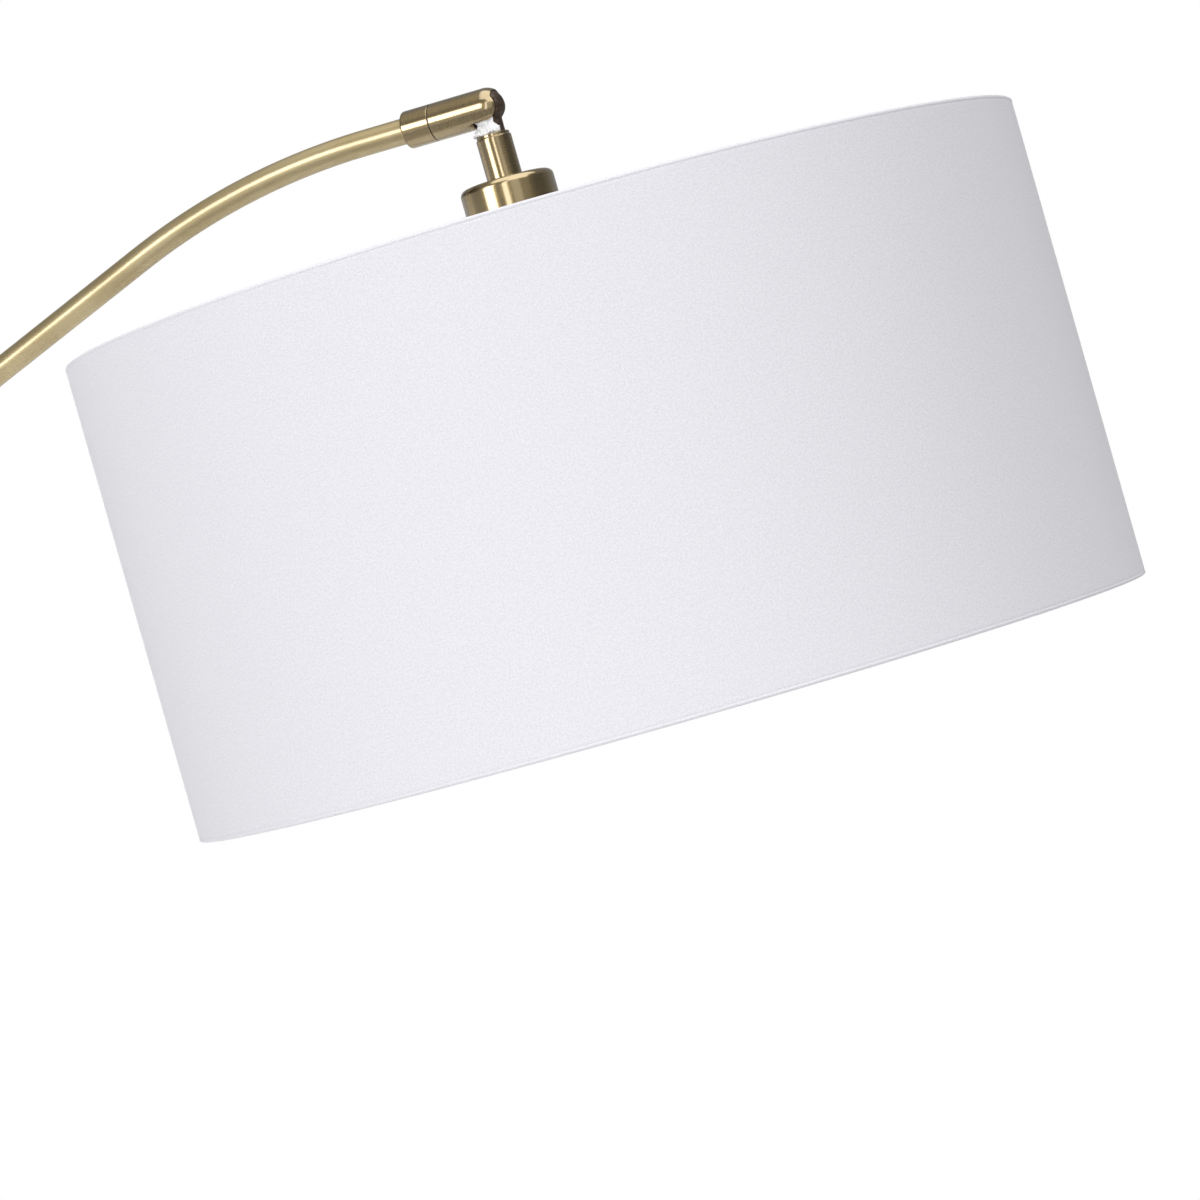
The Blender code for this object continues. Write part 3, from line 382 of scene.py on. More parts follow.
OLD_BRASS = ((0.37, 0.278, 0.125), (0.29, 0.212, 0.09))  # polished and in the patina
PALE_BRASS = ((0.58, 0.48, 0.27), (0.50, 0.40, 0.21))
TURNED_BRASS = brushed_brass("turned_brass", True, 0.24, *OLD_BRASS, coat=0.9)
DRAWN_BRASS = brushed_brass("drawn_brass", False, 0.44, *PALE_BRASS, coat=0.45)
DARK_CAST = cast_metal("dark_cast", (0.050, 0.034, 0.024), (0.13, 0.09, 0.065), 0.6, 0.5, 2200.0)
CAST_IRON = cast_metal("cast_iron", (0.05, 0.05, 0.055), (0.09, 0.09, 0.095), 0.6, 0.62, 900.0)
ZINC = plated_metal("zinc_steel", (0.60, 0.61, 0.62), 0.32)
SHELL_METAL = plated_metal("socket_metal", (0.66, 0.53, 0.29), 0.28)
CAP_METAL = plated_metal("cap_metal", (0.74, 0.74, 0.75), 0.26)
BLACK = moulded_plastic("black_plastic", (0.022, 0.022, 0.023), 0.42)
PHENOLIC = moulded_plastic("phenolic", (0.018, 0.016, 0.015), 0.28, 900.0)
NYLON = moulded_plastic("white_nylon", (0.80, 0.80, 0.79), 0.42)
FILM = moulded_plastic("white_film", (0.86, 0.86, 0.875), 0.30, 1500.0, 0.00004)
CORE = moulded_plastic("core_insulation", (0.83, 0.83, 0.84), 0.38)
JACKET = moulded_plastic("lead_jacket", (0.70, 0.70, 0.68), 0.48)
PAINTED_WIRE = moulded_plastic("white_wire", (0.80, 0.80, 0.79), 0.36, 1300.0, 0.00003)
STYRENE = moulded_plastic("shade_styrene", (0.83, 0.83, 0.82), 0.34, 500.0)
FELT = felt_cloth("felt")
GLASS = opal_glass("opal_glass")
LINEN = linen("shade_linen", CIRCUMFERENCE)

SLOT_MATERIALS = {
    "antique_brass": TURNED_BRASS,
    "dark_cast": DARK_CAST,
    "cast_iron": CAST_IRON,
    "zinc_steel": ZINC,
    "black_plastic": BLACK,
    "white_nylon": NYLON,
    "core_insulation": CORE,
    "lead_jacket": JACKET,
    "felt": FELT,
    "phenolic": PHENOLIC,
    "socket_metal": SHELL_METAL,
    "cap_metal": CAP_METAL,
    "opal_glass": GLASS,
    "white_wire": PAINTED_WIRE,
    "shade_linen": LINEN,
    "shade_styrene": STYRENE,
}
BODY_OF = {
    node: body
    for body, nodes in frame["record"]["behaviour"]["bodies"].items()
    for node in nodes
}

SLOT_OF = {part["node"]: part["material_slot"] for part in frame["record"]["subparts"]}

# ---------------------------------------------------------------- mesh makers


def quarter(steps):
    """Evenly spaced angles over a quarter turn."""
    return [math.pi / 2 * i / steps for i in range(steps + 1)]


def mesh_of(name, form):
    mesh = bpy.data.meshes.new(name)
    form.to_mesh(mesh)
    form.free()
    return mesh


def shade_smooth(mesh, angle=40.0):
    """Smooth shading, but for edges sharper than the angle in degrees."""
    mesh.shade_smooth()
    mesh.set_sharp_from_angle(angle=math.radians(angle))


def place_piece(name, mesh, material, place, smooth_angle=40.0):
    mesh.materials.append(material)
    shade_smooth(mesh, smooth_angle)
    obj = bpy.data.objects.new(name, mesh)
    bpy.context.scene.collection.objects.link(obj)
    obj.matrix_world = place
    return obj


def grid_mesh(name, rows, uvs=None, closed_rows=False):
    """A mesh from rows of points that each close on themselves. uvs has one more in each row."""
    rows = np.asarray(rows, float)
    count, sides = rows.shape[:2]
    row_count = count if closed_rows else count - 1
    faces = []
    for i in range(row_count):
        j = (i + 1) % count
        for k in range(sides):
            n = (k + 1) % sides
            faces.append((i * sides + k, i * sides + n, j * sides + n, j * sides + k))
    mesh = bpy.data.meshes.new(name)
    mesh.from_pydata(rows.reshape(-1, 3).tolist(), [], faces)
    if uvs is not None:
        layer = mesh.uv_layers.new(name="UVMap")
        uvs = np.asarray(uvs, float)
        flat = []
        for i in range(row_count):
            for k in range(sides):
                for a, b in ((i, k), (i, k + 1), (i + 1, k + 1), (i + 1, k)):
                    flat.append(uvs[a, b])
        layer.data.foreach_set("uv", np.asarray(flat).ravel())
    return mesh


def weld(mesh, distance=1e-7):
    form = bmesh.new()
    form.from_mesh(mesh)
    bmesh.ops.remove_doubles(form, verts=form.verts, dist=distance)
    bmesh.ops.recalc_face_normals(form, faces=form.faces)
    form.to_mesh(mesh)
    form.free()
    return mesh


def soften(points, radius, closed=True, steps=5):
    """A section with its corners rounded. radius is one number, or one for each corner."""
    points = [Vector(p) for p in points]
    count = len(points)
    radii = radius if hasattr(radius, "__len__") else [radius] * count
    out = []
    for i, corner in enumerate(points):
        if radii[i] <= 0 or (not closed and i in (0, count - 1)):
            out.append(corner)
            continue
        before, after = points[i - 1] - corner, points[(i + 1) % count] - corner
        reach = min(radii[i], 0.45 * before.length, 0.45 * after.length)
        start, end = (corner + side.normalized() * reach for side in (before, after))
        for k in range(steps + 1):
            t = k / steps
            out.append(start * (1 - t) ** 2 + corner * 2 * t * (1 - t) + end * t**2)
    return support(out, closed)


def support(points, closed):
    """Adds a ring near both ends of each long flat, so that smooth shading stays true there."""
    out = []
    last = len(points) if closed else len(points) - 1
    for i in range(last):
        a, b = points[i], points[(i + 1) % len(points)]
        out.append(a)
        span = (b - a).length
        if span > 0.0015:
            near = 0.0005 / span
            out += [a.lerp(b, near), a.lerp(b, 1 - near)]
    if not closed:
        out.append(points[-1])
    return out


def turned(name, profile, material, place, steps=96, relief=None, smooth_angle=40.0):
    """A turned piece about local Z. relief(angle, radius, height) is added to the radius."""
    profile = np.array([tuple(p) for p in profile])
    closed = profile[0][0] > 1e-9
    angles = np.linspace(0, 2 * math.pi, steps, endpoint=False)
    radii = np.repeat(profile[:, :1], steps, axis=1)
    heights = np.repeat(profile[:, 1:], steps, axis=1)
    if relief is not None:
        radii = radii + relief(angles[None, :], radii, heights)
    rows = np.stack([radii * np.cos(angles), radii * np.sin(angles), heights], axis=2)
    along = np.concatenate([[0], np.cumsum(np.linalg.norm(np.diff(profile, axis=0), axis=1))])
    if closed:
        along = np.append(along, along[-1] + np.linalg.norm(profile[0] - profile[-1]))
    reach = profile[:, 0].max()
    around = np.linspace(0, 2 * math.pi * reach, steps + 1)
    uvs = np.stack(np.meshgrid(around, along), axis=2)
    mesh = weld(grid_mesh(name, rows, uvs, closed_rows=closed))
    return place_piece(name, mesh, material, place, smooth_angle)


def ride_for(obj, node):
    """obj stands for this CAD node and moves with its body."""
    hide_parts(node)
    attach(obj, BODY_OF[node])
    return obj


def sweep(points, radius, sides, closed_path=False):
    """Rows of points round a path in space, turned with it and never twisted."""
    points = [Vector(p) for p in points]
    count = len(points)
    rows = []
    normal = None
    for i, point in enumerate(points):
        if closed_path:
            tangent = points[(i + 1) % count] - points[i - 1]
        else:
            tangent = points[min(i + 1, count - 1)] - points[max(i - 1, 0)]
        tangent.normalize()
        if normal is None:
            normal = SIDE if abs(tangent.dot(SIDE)) < 0.9 else Vector((0.0, 0.0, 1.0))
        normal = (normal - tangent * normal.dot(tangent)).normalized()
        other = tangent.cross(normal)
        size = radius[i] if hasattr(radius, "__len__") else radius
        rows.append(
            [
                point + size * (math.cos(a) * normal + math.sin(a) * other)
                for a in (2 * math.pi * k / sides for k in range(sides))
            ]
        )
    return rows


def bar(name, points, radius, material, place, sides=16, closed_path=False):
    """A round bar along a path, with ends that close in a small dome."""
    points = [Vector(p) for p in points]
    if closed_path:
        rows = sweep(points, radius, sides, True)
        return place_piece(name, weld(grid_mesh(name, rows, closed_rows=True)), material, place)
    start = (points[0] - points[1]).normalized()
    end = (points[-1] - points[-2]).normalized()
    dome = 0.35 * radius
    steps = ((1.0, 1e-9), (0.94, 0.5 * radius), (0.6, 0.87 * radius))
    path = [points[0] + start * dome * share for share, _ in steps] + points
    path += [points[-1] + end * dome * share for share, _ in steps[::-1]]
    sizes = [size for _, size in steps]
    sizes = sizes + [radius] * len(points) + sizes[::-1]
    rows = sweep(path, sizes, sides)
    along = np.concatenate(
        [[0], np.cumsum([(b - a).length for a, b in zip(path[:-1], path[1:])])]
    )
    around = np.linspace(0, 2 * math.pi * radius, sides + 1)
    uvs = np.stack(np.meshgrid(around, along), axis=2)
    return place_piece(name, weld(grid_mesh(name, rows, uvs), 1e-6), material, place)


def joined(name, parts):
    """One object out of several closed pieces that share a place."""
    form = bmesh.new()
    for part in parts:
        form.from_mesh(part.data)
    material, place = parts[0].data.materials[0], parts[0].matrix_world.copy()
    for part in parts:
        bpy.data.objects.remove(part)
    return place_piece(name, mesh_of(name, form), material, place)


def box_mesh(low, high):
    form = bmesh.new()
    low, high = Vector(low), Vector(high)
    place = Matrix.Translation((low + high) / 2) @ Matrix.Diagonal((*(high - low), 1.0))
    bmesh.ops.create_cube(form, size=1.0, matrix=place)
    return form


def rod_mesh(radius, low, high, turn=None, sides=64):
    form = bmesh.new()
    place = along_z((low + high) / 2)
    bmesh.ops.create_cone(
        form,
        cap_ends=True,
        segments=sides,
        radius1=radius,
        radius2=radius,
        depth=high - low,
        matrix=(turn or WORLD) @ place,
    )
    return form


def cut(obj, form, operation="DIFFERENCE"):
    """Applies a Boolean with a shape given in obj's own frame."""
    mesh = mesh_of("cutter", form)
    cutter = bpy.data.objects.new("cutter", mesh)
    bpy.context.scene.collection.objects.link(cutter)
    cutter.matrix_world = obj.matrix_world
    modifier = obj.modifiers.new("Cut", "BOOLEAN")
    modifier.operation = operation
    modifier.solver = "EXACT"
    modifier.object = cutter
    apply_modifiers(obj)
    bpy.data.objects.remove(cutter)
    bpy.data.meshes.remove(mesh)


def apply_modifiers(obj):
    bpy.context.view_layer.update()
    graph = bpy.context.evaluated_depsgraph_get()
    mesh = bpy.data.meshes.new_from_object(obj.evaluated_get(graph))
    obj.modifiers.clear()
    old = obj.data
    obj.data = mesh
    bpy.data.meshes.remove(old)


def rounded_off(obj, voxel, smoothing):
    """Turns a cut piece into one even skin whose edges are all slightly rounded."""
    remesh = obj.modifiers.new("Skin", "REMESH")
    remesh.mode = "VOXEL"
    remesh.voxel_size = voxel
    smooth = obj.modifiers.new("Ease", "SMOOTH")
    smooth.factor = 0.5
    smooth.iterations = smoothing
    apply_modifiers(obj)
    obj.data.shade_smooth()


# ---------------------------------------------------------------- base and pole


def make_base():
    low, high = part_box("base_felt_pad")
    edge, pad_radius = 0.0006, high.x
    pad = soften(
        [(0.0, high.z), (high.x, high.z), (high.x, low.z), (0.0, low.z)],
        [0, edge, edge, 0],
        closed=False,
    )

    def frayed(angle, radii, height):
        tufts = 0.00025 * np.sin(angle * 61) * np.sin(angle * 23 + 1)
        return np.where(radii > 0.9 * pad_radius, tufts, 0.0)

    ride_for(turned("felt_pad", pad, FELT, WORLD, 240, frayed), "base_felt_pad")

    low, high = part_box("base_cover")
    wall, crown, shoulder, bore = 0.001, 0.0012, 0.009, 0.0053
    edge_top = high.z - crown
    top = [(bore, high.z)]
    for i in range(1, 13):
        share = i / 12
        radius = bore + (COVER_RADIUS - shoulder - bore) * share
        top.append((radius, high.z - crown * share**2))
    bend = [
        (
            COVER_RADIUS - shoulder + shoulder * math.sin(a),
            edge_top - shoulder + shoulder * math.cos(a),
        )
        for a in quarter(14)[1:]
    ]
    outer = top + bend + [(COVER_RADIUS, low.z + 0.0006), (COVER_RADIUS - 0.0003, low.z)]
    inner = [(COVER_RADIUS - wall, low.z), (COVER_RADIUS - wall, edge_top - shoulder)]
    inner += [(COVER_RADIUS - shoulder, edge_top - wall), (bore, high.z - wall)]
    cover = turned("base_dome", outer + inner, TURNED_BRASS, WORLD, 192)
    cut(cover, rod_mesh(0.0043, -COVER_RADIUS - 0.005, -COVER_RADIUS + 0.008, turn=GLAND_TURN))
    shade_smooth(cover.data)
    ride_for(cover, "base_cover")

    bush = soften(
        [
            (0.0026, 0.0018), (0.0046, 0.0018), (0.0056, 0.0010), (0.0056, 0.0), (0.0040, 0.0),
            (0.0040, -0.0068), (0.0026, -0.0068),
        ],
        0.0004,
    )
    place = Matrix.Translation((-COVER_RADIUS - 0.0004, 0.0, GLAND_HEIGHT))
    place = place @ Matrix.Rotation(-math.pi / 2, 4, "Y")
    ride_for(turned("cord_bush", bush, BLACK, place, 48), "cord_gland")


def make_pole():
    low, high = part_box("foot_collar")
    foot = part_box("lower_pole")[0].z
    top, inside, bore = high.z, POLE_RADIUS + GAP, 0.0053
    collar = soften(
        [
            (inside, top), (0.0134, top), (0.0139, top - 0.0024), (0.0144, top - 0.0050),
            (0.0170, top - 0.0090), (0.0215, top - 0.0115), (0.0240, top - 0.0125),
            (0.0250, top - 0.0138), (0.0250, low.z), (bore, low.z), (bore, foot - GAP),
            (inside, foot - GAP),
        ],
        [0.0004, 0.0005, 0.002, 0.002, 0.003, 0.002, 0.0008, 0.0006, 0.0004, 0, 0, 0],
    )
    ride_for(turned("foot_flange", collar, TURNED_BRASS, WORLD), "foot_collar")

    for name, node in (("pole_lower_tube", "lower_pole"), ("pole_upper_tube", "upper_pole")):
        low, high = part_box(node)
        bore = POLE_RADIUS - 0.0012
        section = [(POLE_RADIUS, high.z), (POLE_RADIUS, low.z), (bore, low.z), (bore, high.z)]
        ride_for(turned(name, soften(section, 0.0003), TURNED_BRASS, WORLD, 72), node)

    low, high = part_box("pole_joint_ring")
    middle, reach = (low.z + high.z) / 2, high.x
    groove = 0.0005
    section = soften(
        [
            (0.0053, high.z), (reach - 0.0007, high.z), (reach, high.z - 0.0009),
            (reach, middle + 0.0012), (reach - groove, middle + 0.0008),
            (reach - groove, middle + 0.0004), (reach, middle),
            (reach - groove, middle - 0.0004), (reach - groove, middle - 0.0008),
            (reach, middle - 0.0012), (reach, low.z + 0.0009), (reach - 0.0007, low.z),
            (0.0053, low.z),
        ],
        0.0003,
    )
    ride_for(turned("pole_ring", section, TURNED_BRASS, WORLD), "pole_joint_ring")
    make_reducer()


def make_reducer():
    low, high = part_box("arm_reducer")
    top, bottom = high.z, low.z
    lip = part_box("upper_pole")[1].z + GAP
    bore, spigot = ARM_RADIUS + GAP, POLE_RADIUS - 0.0015
    section = soften(
        [
            (bore, top), (0.0070, top), (0.0076, top - 0.0008), (0.0080, top - 0.0180),
            (0.0088, top - 0.0260), (0.0106, top - 0.0340), (0.0117, top - 0.0375),
            (0.0120, top - 0.0390), (0.0120, lip + 0.0006), (0.0114, lip), (spigot, lip),
            (spigot, bottom), (0.0035, bottom), (0.0035, lip - 0.0106), (bore, lip - 0.0106),
        ],
        [0, 0.0003, 0.0006, 0.012, 0.006, 0.004, 0.002, 0.001, 0.0005, 0.0004, 0, 0, 0, 0, 0],
    )
    reducer = turned("arm_socket", section, TURNED_BRASS, WORLD)
    screw_height = top - 0.010
    across = along_z(screw_height) @ Z_TO_Y
    cut(reducer, rod_mesh(0.0023, 0.0052, 0.012, turn=across, sides=40))
    shade_smooth(reducer.data, 35.0)
    ride_for(reducer, "arm_reducer")


# ---------------------------------------------------------------- arm


def bend(start, radius, from_slope, to_slope, steps):
    x, z = start
    for i in range(1, steps + 1):
        slope = from_slope + (to_slope - from_slope) * i / steps
        yield (
            x + radius * (math.sin(from_slope) - math.sin(slope)),
            z + radius * (math.cos(slope) - math.cos(from_slope)),
        )


def arm_centreline(short_of_pin):
    """The arm's middle line: up, round the wide bend, along, round the shallow bend and along."""
    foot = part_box("arm_tube")[0].z
    points = [(0.0, foot + (ARM_BEND_HEIGHT - foot) * i / 40) for i in range(41)]
    points += bend(points[-1], ARM_BEND_RADIUS, math.pi / 2, ARM_SLOPE, 72)
    x, z = points[-1]
    for i in range(1, 17):
        reach = ARM_STRAIGHT * i / 16
        points.append((x + reach * math.cos(ARM_SLOPE), z + reach * math.sin(ARM_SLOPE)))
    points += bend(points[-1], TIP_BEND_RADIUS, ARM_SLOPE, TIP_SLOPE, 32)
    x, z = points[-1]
    for i in range(1, 9):
        reach = (TIP_LENGTH - short_of_pin) * i / 8
        points.append((x + reach * math.cos(TIP_SLOPE), z + reach * math.sin(TIP_SLOPE)))
    return [Vector((x, 0.0, z)) for x, z in points]


def make_arm():
    path = arm_centreline(SEAM_FROM_PIN + 0.0055)
    arm = bar("arm", path, ARM_RADIUS, DRAWN_BRASS, WORLD, sides=64)
    ride_for(arm, "arm_tube")

    face, back = -SEAM_FROM_PIN - 0.00012, -SEAM_FROM_PIN - COLLAR_LENGTH
    wall_back = -SEAM_FROM_PIN - 0.0048
    bore, stud = ARM_RADIUS + GAP, 0.0038
    collar = soften(
        [
            (stud, face), (KNUCKLE_RADIUS, face), (KNUCKLE_RADIUS, back), (bore, back),
            (bore, wall_back), (stud, wall_back),
        ],
        [0, 0.00022, 0.0008, 0.0003, 0, 0],
    )
    ride_for(turned("arm_end_collar", collar, TURNED_BRASS, ARM_END, 128), "arm_collar")


# ---------------------------------------------------------------- knuckle


def make_knuckle():
    face = -SEAM_FROM_PIN + 0.00012
    stud, cavity, cavity_start, cavity_end = 0.0038, 0.0056, -SEAM_FROM_PIN + 0.0035, -0.003
    dome = [
        (KNUCKLE_RADIUS * math.sin(a), KNUCKLE_RADIUS * math.cos(a))
        for a in quarter(28)
    ]
    edge = 0.00022
    profile = dome + [
        (KNUCKLE_RADIUS, face + edge), (KNUCKLE_RADIUS - edge, face), (stud, face),
        (stud, cavity_start), (cavity, cavity_start), (cavity, cavity_end), (0.0, cavity_end),
    ]
    housing = turned("knuckle_shell", profile, TURNED_BRASS, ARM_END, 144)
    cut(housing, pocket_form())
    reach, slot = 0.012, SLOT_HALF_WIDTH
    cut(housing, box_mesh((-reach, -slot, SLOT_ROOF), (reach, slot, reach)))
    cut(housing, box_mesh((-0.0005, -slot, -0.0065), (reach, slot, 0.009)))
    cut(housing, rod_mesh(0.0023, -0.0071, 0.009, turn=Z_TO_Y))
    cut(housing, rod_mesh(0.0033, 0.0068, 0.009, turn=Z_TO_Y))
    rounded_off(housing, 0.00014, 3)
    paint_slot_shade(housing)
    ride_for(housing, "knuckle_housing")

    seam = turned(
        "swivel_seam",
        soften([(0.0077, 0.0001), (0.0077, -0.0001), (stud, -0.0001), (stud, 0.0001)], 0.00003),
        BLACK,
        ARM_END @ along_z(-SEAM_FROM_PIN),
        128,
    )
    ride_for(seam, "swivel_washer")


def pocket_form():
    """The ball that the tongue turns in, cut flat at the slot's sides."""
    pocket = bmesh.new()
    bmesh.ops.create_uvsphere(pocket, u_segments=96, v_segments=64, radius=POCKET_RADIUS)
    for side in (-1, 1):
        plane = Vector((0.0, side * SLOT_HALF_WIDTH, 0.0))
        geometry = pocket.verts[:] + pocket.edges[:] + pocket.faces[:]
        sliced = bmesh.ops.bisect_plane(
            pocket,
            geom=geometry,
            plane_co=plane,
            plane_no=(0.0, side, 0.0),
            clear_outer=True,
        )
        rim = [e for e in sliced["geom_cut"] if isinstance(e, bmesh.types.BMEdge)]
        bmesh.ops.contextual_create(pocket, geom=rim)
    return pocket


def paint_slot_shade(housing):
    """The faces inside the slot take the dark cast material: painted shade for the slot's shadowed inside."""
    mesh = housing.data
    # the dark cast material on the slot's inner faces is painted shade
    mesh.materials.append(DARK_CAST)
    inside = SLOT_HALF_WIDTH + 0.0001
    for polygon in mesh.polygons:
        centre = polygon.center
        radius = math.hypot(centre.x, centre.y)
        if centre.z > 0:
            radius = centre.length
        if abs(centre.y) < inside and radius < KNUCKLE_RADIUS - 0.00035:
            polygon.material_index = 1


def make_tongue():
    """The cast eye and the half-round stem that goes down the neck."""
    eye_half, stem, stem_top, foot_top, foot_bottom = 0.0044, 0.0045, -0.002, -0.0150, -0.0215
    form = bmesh.new()
    bmesh.ops.create_uvsphere(form, u_segments=96, v_segments=64, radius=TONGUE_RADIUS)
    tongue = place_piece("tongue", mesh_of("tongue", form), DARK_CAST, HEAD)
    post_form = rod_mesh(stem, foot_top - 0.001, stem_top)
    post = place_piece("post", mesh_of("post", post_form), DARK_CAST, HEAD)
    to_neck = Matrix.Translation((NECK_OFF_CENTRE, 0.0, 0.0))
    cut(post, rod_mesh(NECK_BORE - 0.0008, foot_bottom, foot_top, turn=to_neck), "UNION")
    far = 0.03
    cut(post, box_mesh((-far, -far, -far), (-0.0008, far, 0.0)))
    form = bmesh.new()
    form.from_mesh(post.data)
    cut(tongue, form, "UNION")
    bpy.data.objects.remove(post)
    for low, high in ((-far, -eye_half), (eye_half, far)):
        cut(tongue, box_mesh((-far, low, foot_top + 0.004), (far, high, far)))
    cut(tongue, box_mesh((-far, -0.0028, -far), (-0.0030, 0.0028, 0.0018)))
    cut(tongue, rod_mesh(0.0023, -0.01, 0.01, turn=Z_TO_Y))
    rounded_off(tongue, 0.0002, 3)
    normals = [vertex.normal.copy() for vertex in tongue.data.vertices]
    for vertex, normal in zip(tongue.data.vertices, normals):
        coarse, fine = noise.noise(vertex.co * 900), noise.noise(vertex.co * 2300)
        vertex.co += normal * (coarse * 0.00009 + fine * 0.00005)
    tongue.data.update()
    ride_for(tongue, "knuckle_tongue")


# ---------------------------------------------------------------- neck and wires


def make_neck():
    bore, bottom, hole = NECK_BORE, CUP_TOP + GAP, 0.0038
    floor_top = CUP_TOP + 0.0033
    section = soften(
        [
            (bore, NECK_TOP), (NECK_RADIUS - 0.0005, NECK_TOP),
            (NECK_RADIUS - 0.0005, NECK_TOP - 0.0012), (NECK_RADIUS, NECK_TOP - 0.0015),
            (NECK_RADIUS, bottom), (hole, bottom), (hole, floor_top), (bore, floor_top),
        ],
        [0.0001, 0.0002, 0.0001, 0.0003, 0.0002, 0, 0, 0],
    )
    ride_for(turned("neck", section, TURNED_BRASS, NECK, 128), "neck_tube")
    make_sleeve()
    make_cores()


def make_sleeve():
    """The thin white insulating sleeve, crumpled round the wires and open on its outward side."""
    stations = [  # height, half-widths along X and Y, middle's X, squareness
        (-0.0145, 0.0060, 0.0060, NECK_OFF_CENTRE, 2.0),
        (-0.0119, 0.0063, 0.0063, NECK_OFF_CENTRE, 2.0),
        (-0.0111, 0.0074, 0.0071, NECK_OFF_CENTRE, 2.0),
        (-0.0104, 0.0076, 0.0069, NECK_OFF_CENTRE, 2.1),
        (-0.0090, 0.0062, 0.0054, -0.0012, 2.6), (-0.0072, 0.0047, 0.0050, -0.0014, 3.2),
        (-0.0046, 0.0045, 0.0049, -0.0016, 3.6),
    ]
    rows_between, sides = 9, 180
    from_angle, span = math.radians(-35), math.radians(-250)
    levels = smooth_path([Vector(s) for s in stations], rows_between)
    rows = []
    for level, (height, along, across, middle, square) in enumerate(levels):
        share = level / (len(levels) - 1)
        loose = min(1.0, max(0.0, (share - 0.12) / 0.2))
        row = []
        for k in range(sides):
            turn = k / (sides - 1)
            angle = from_angle + span * turn
            c, s = math.cos(angle), math.sin(angle)
            x = middle + along * math.copysign(abs(c) ** (2 / square), c)
            y = across * math.copysign(abs(s) ** (2 / square), s)
            at = Vector((x, y, height))
            broad = 1 - 2 * abs(noise.noise(at * 260 + Vector((3, 7, 1))))
            sharp = 1 - 2 * abs(noise.noise(at * 620 + Vector((9, 2, 5))))
            push = loose * (0.0013 * (broad - 0.6) + 0.0008 * (sharp - 0.5))
            out = Vector((c, s, 0.0))
            lean = Vector((0.0, 0.0, 0.0007 * loose * noise.noise(at * 300)))
            row.append(clear_of_knuckle(at + out * push + lean))
        rows.append(row)
    mesh = open_grid("sleeve", rows)
    sleeve = place_piece("insulating_sleeve", mesh, FILM, HEAD, 35.0)
    wall = sleeve.modifiers.new("Wall", "SOLIDIFY")
    wall.thickness = 0.00016
    wall.offset = 0.0
    apply_modifiers(sleeve)
    ride_for(sleeve, "neck_bush")


def clear_of_knuckle(point):
    """Holds a point of the sleeve inside the slot, outside the housing and off the cast eye."""
    x, y, z = point
    above_skin = z > -0.0085
    if above_skin:
        y = math.copysign(min(abs(y), 0.0051), y)
        if x < -0.0061:
            x = -0.0061
    beside_eye = x * x + z * z < 0.0077**2 or (x > -0.0012 and z > -0.0160)
    if beside_eye and 0.0022 < abs(y) < 0.0047 and z > -0.0110:
        y = math.copysign(0.0047, y)
    return Vector((x, y, z))


def open_grid(name, rows):
    """A mesh from rows of points that don't close on themselves."""
    sides = len(rows[0])
    faces = []
    for i in range(len(rows) - 1):
        for k in range(sides - 1):
            a = i * sides + k
            faces.append((a, a + 1, a + sides + 1, a + sides))
    mesh = bpy.data.meshes.new(name)
    mesh.from_pydata([point for row in rows for point in row], [], faces)
    return mesh


def smooth_path(points, steps=8):
    """A smooth curve through the given points."""
    points = [Vector(p) for p in points]
    ends = [points[0] * 2 - points[1]] + points + [points[-1] * 2 - points[-2]]
    out = []
    for i in range(1, len(ends) - 2):
        a, b, c, d = ends[i - 1 : i + 3]
        for k in range(steps):
            t = k / steps
            out.append(
                0.5
                * (
                    2 * b
                    + (c - a) * t
                    + (2 * a - 5 * b + 4 * c - d) * t**2
                    + (3 * b - a - 3 * c + d) * t**3
                )
            )
    return out + [points[-1]]


def make_cores():
    """The two insulated cores, between the housing and the neck."""
    radius = 0.0010
    route = [
        (-0.0150, 0.0004), (-0.0118, 0.0001), (-0.0090, -0.0007), (-0.0066, -0.0024),
        (-0.0051, -0.0048), (-0.0045, -0.0072), (-0.0040, -0.0096), (-0.0037, -0.0120),
        (-0.0034, -0.0150), (-0.0030, -0.0185), (-0.0026, -0.0212), (-0.0018, -0.0232),
        (NECK_OFF_CENTRE, -0.0250), (NECK_OFF_CENTRE, CUP_TOP - 0.0106),
    ]
    for node, side in (("lead_core_live", -1), ("lead_core_neutral", 1)):
        y = side * (radius + 0.00018)
        path = smooth_path([HEAD @ Vector((x, y, z)) for x, z in route])
        core = bar(node.replace("lead_", "wire_"), path, radius, CORE, WORLD, sides=20)
        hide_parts(node)
        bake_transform(core)


# ---------------------------------------------------------------- cup, socket and bulb


def make_cup():
    shoulder, wall, hole = 0.0030, 0.001, 0.0038
    bottom = CUP_TOP - CUP_HEIGHT
    outer = [(hole, CUP_TOP)]
    arcs = []
    for radius in (shoulder, shoulder - wall):
        arcs.append(
            [
                (
                    CUP_RADIUS - shoulder + radius * math.sin(a),
                    CUP_TOP - shoulder + radius * math.cos(a),
                )
                for a in quarter(12)
            ]
        )
    outer += [(NECK_RADIUS + 0.002, CUP_TOP), *arcs[0], (CUP_RADIUS, bottom + 0.001)]
    outer += [(CUP_RADIUS, bottom + 0.0002), (CUP_RADIUS - 0.0002, bottom)]
    inner = [(CUP_RADIUS - wall, bottom), *arcs[1][::-1], (hole, CUP_TOP - wall)]
    ride_for(turned("cup", outer + inner, TURNED_BRASS, NECK, 144), "socket_cup")


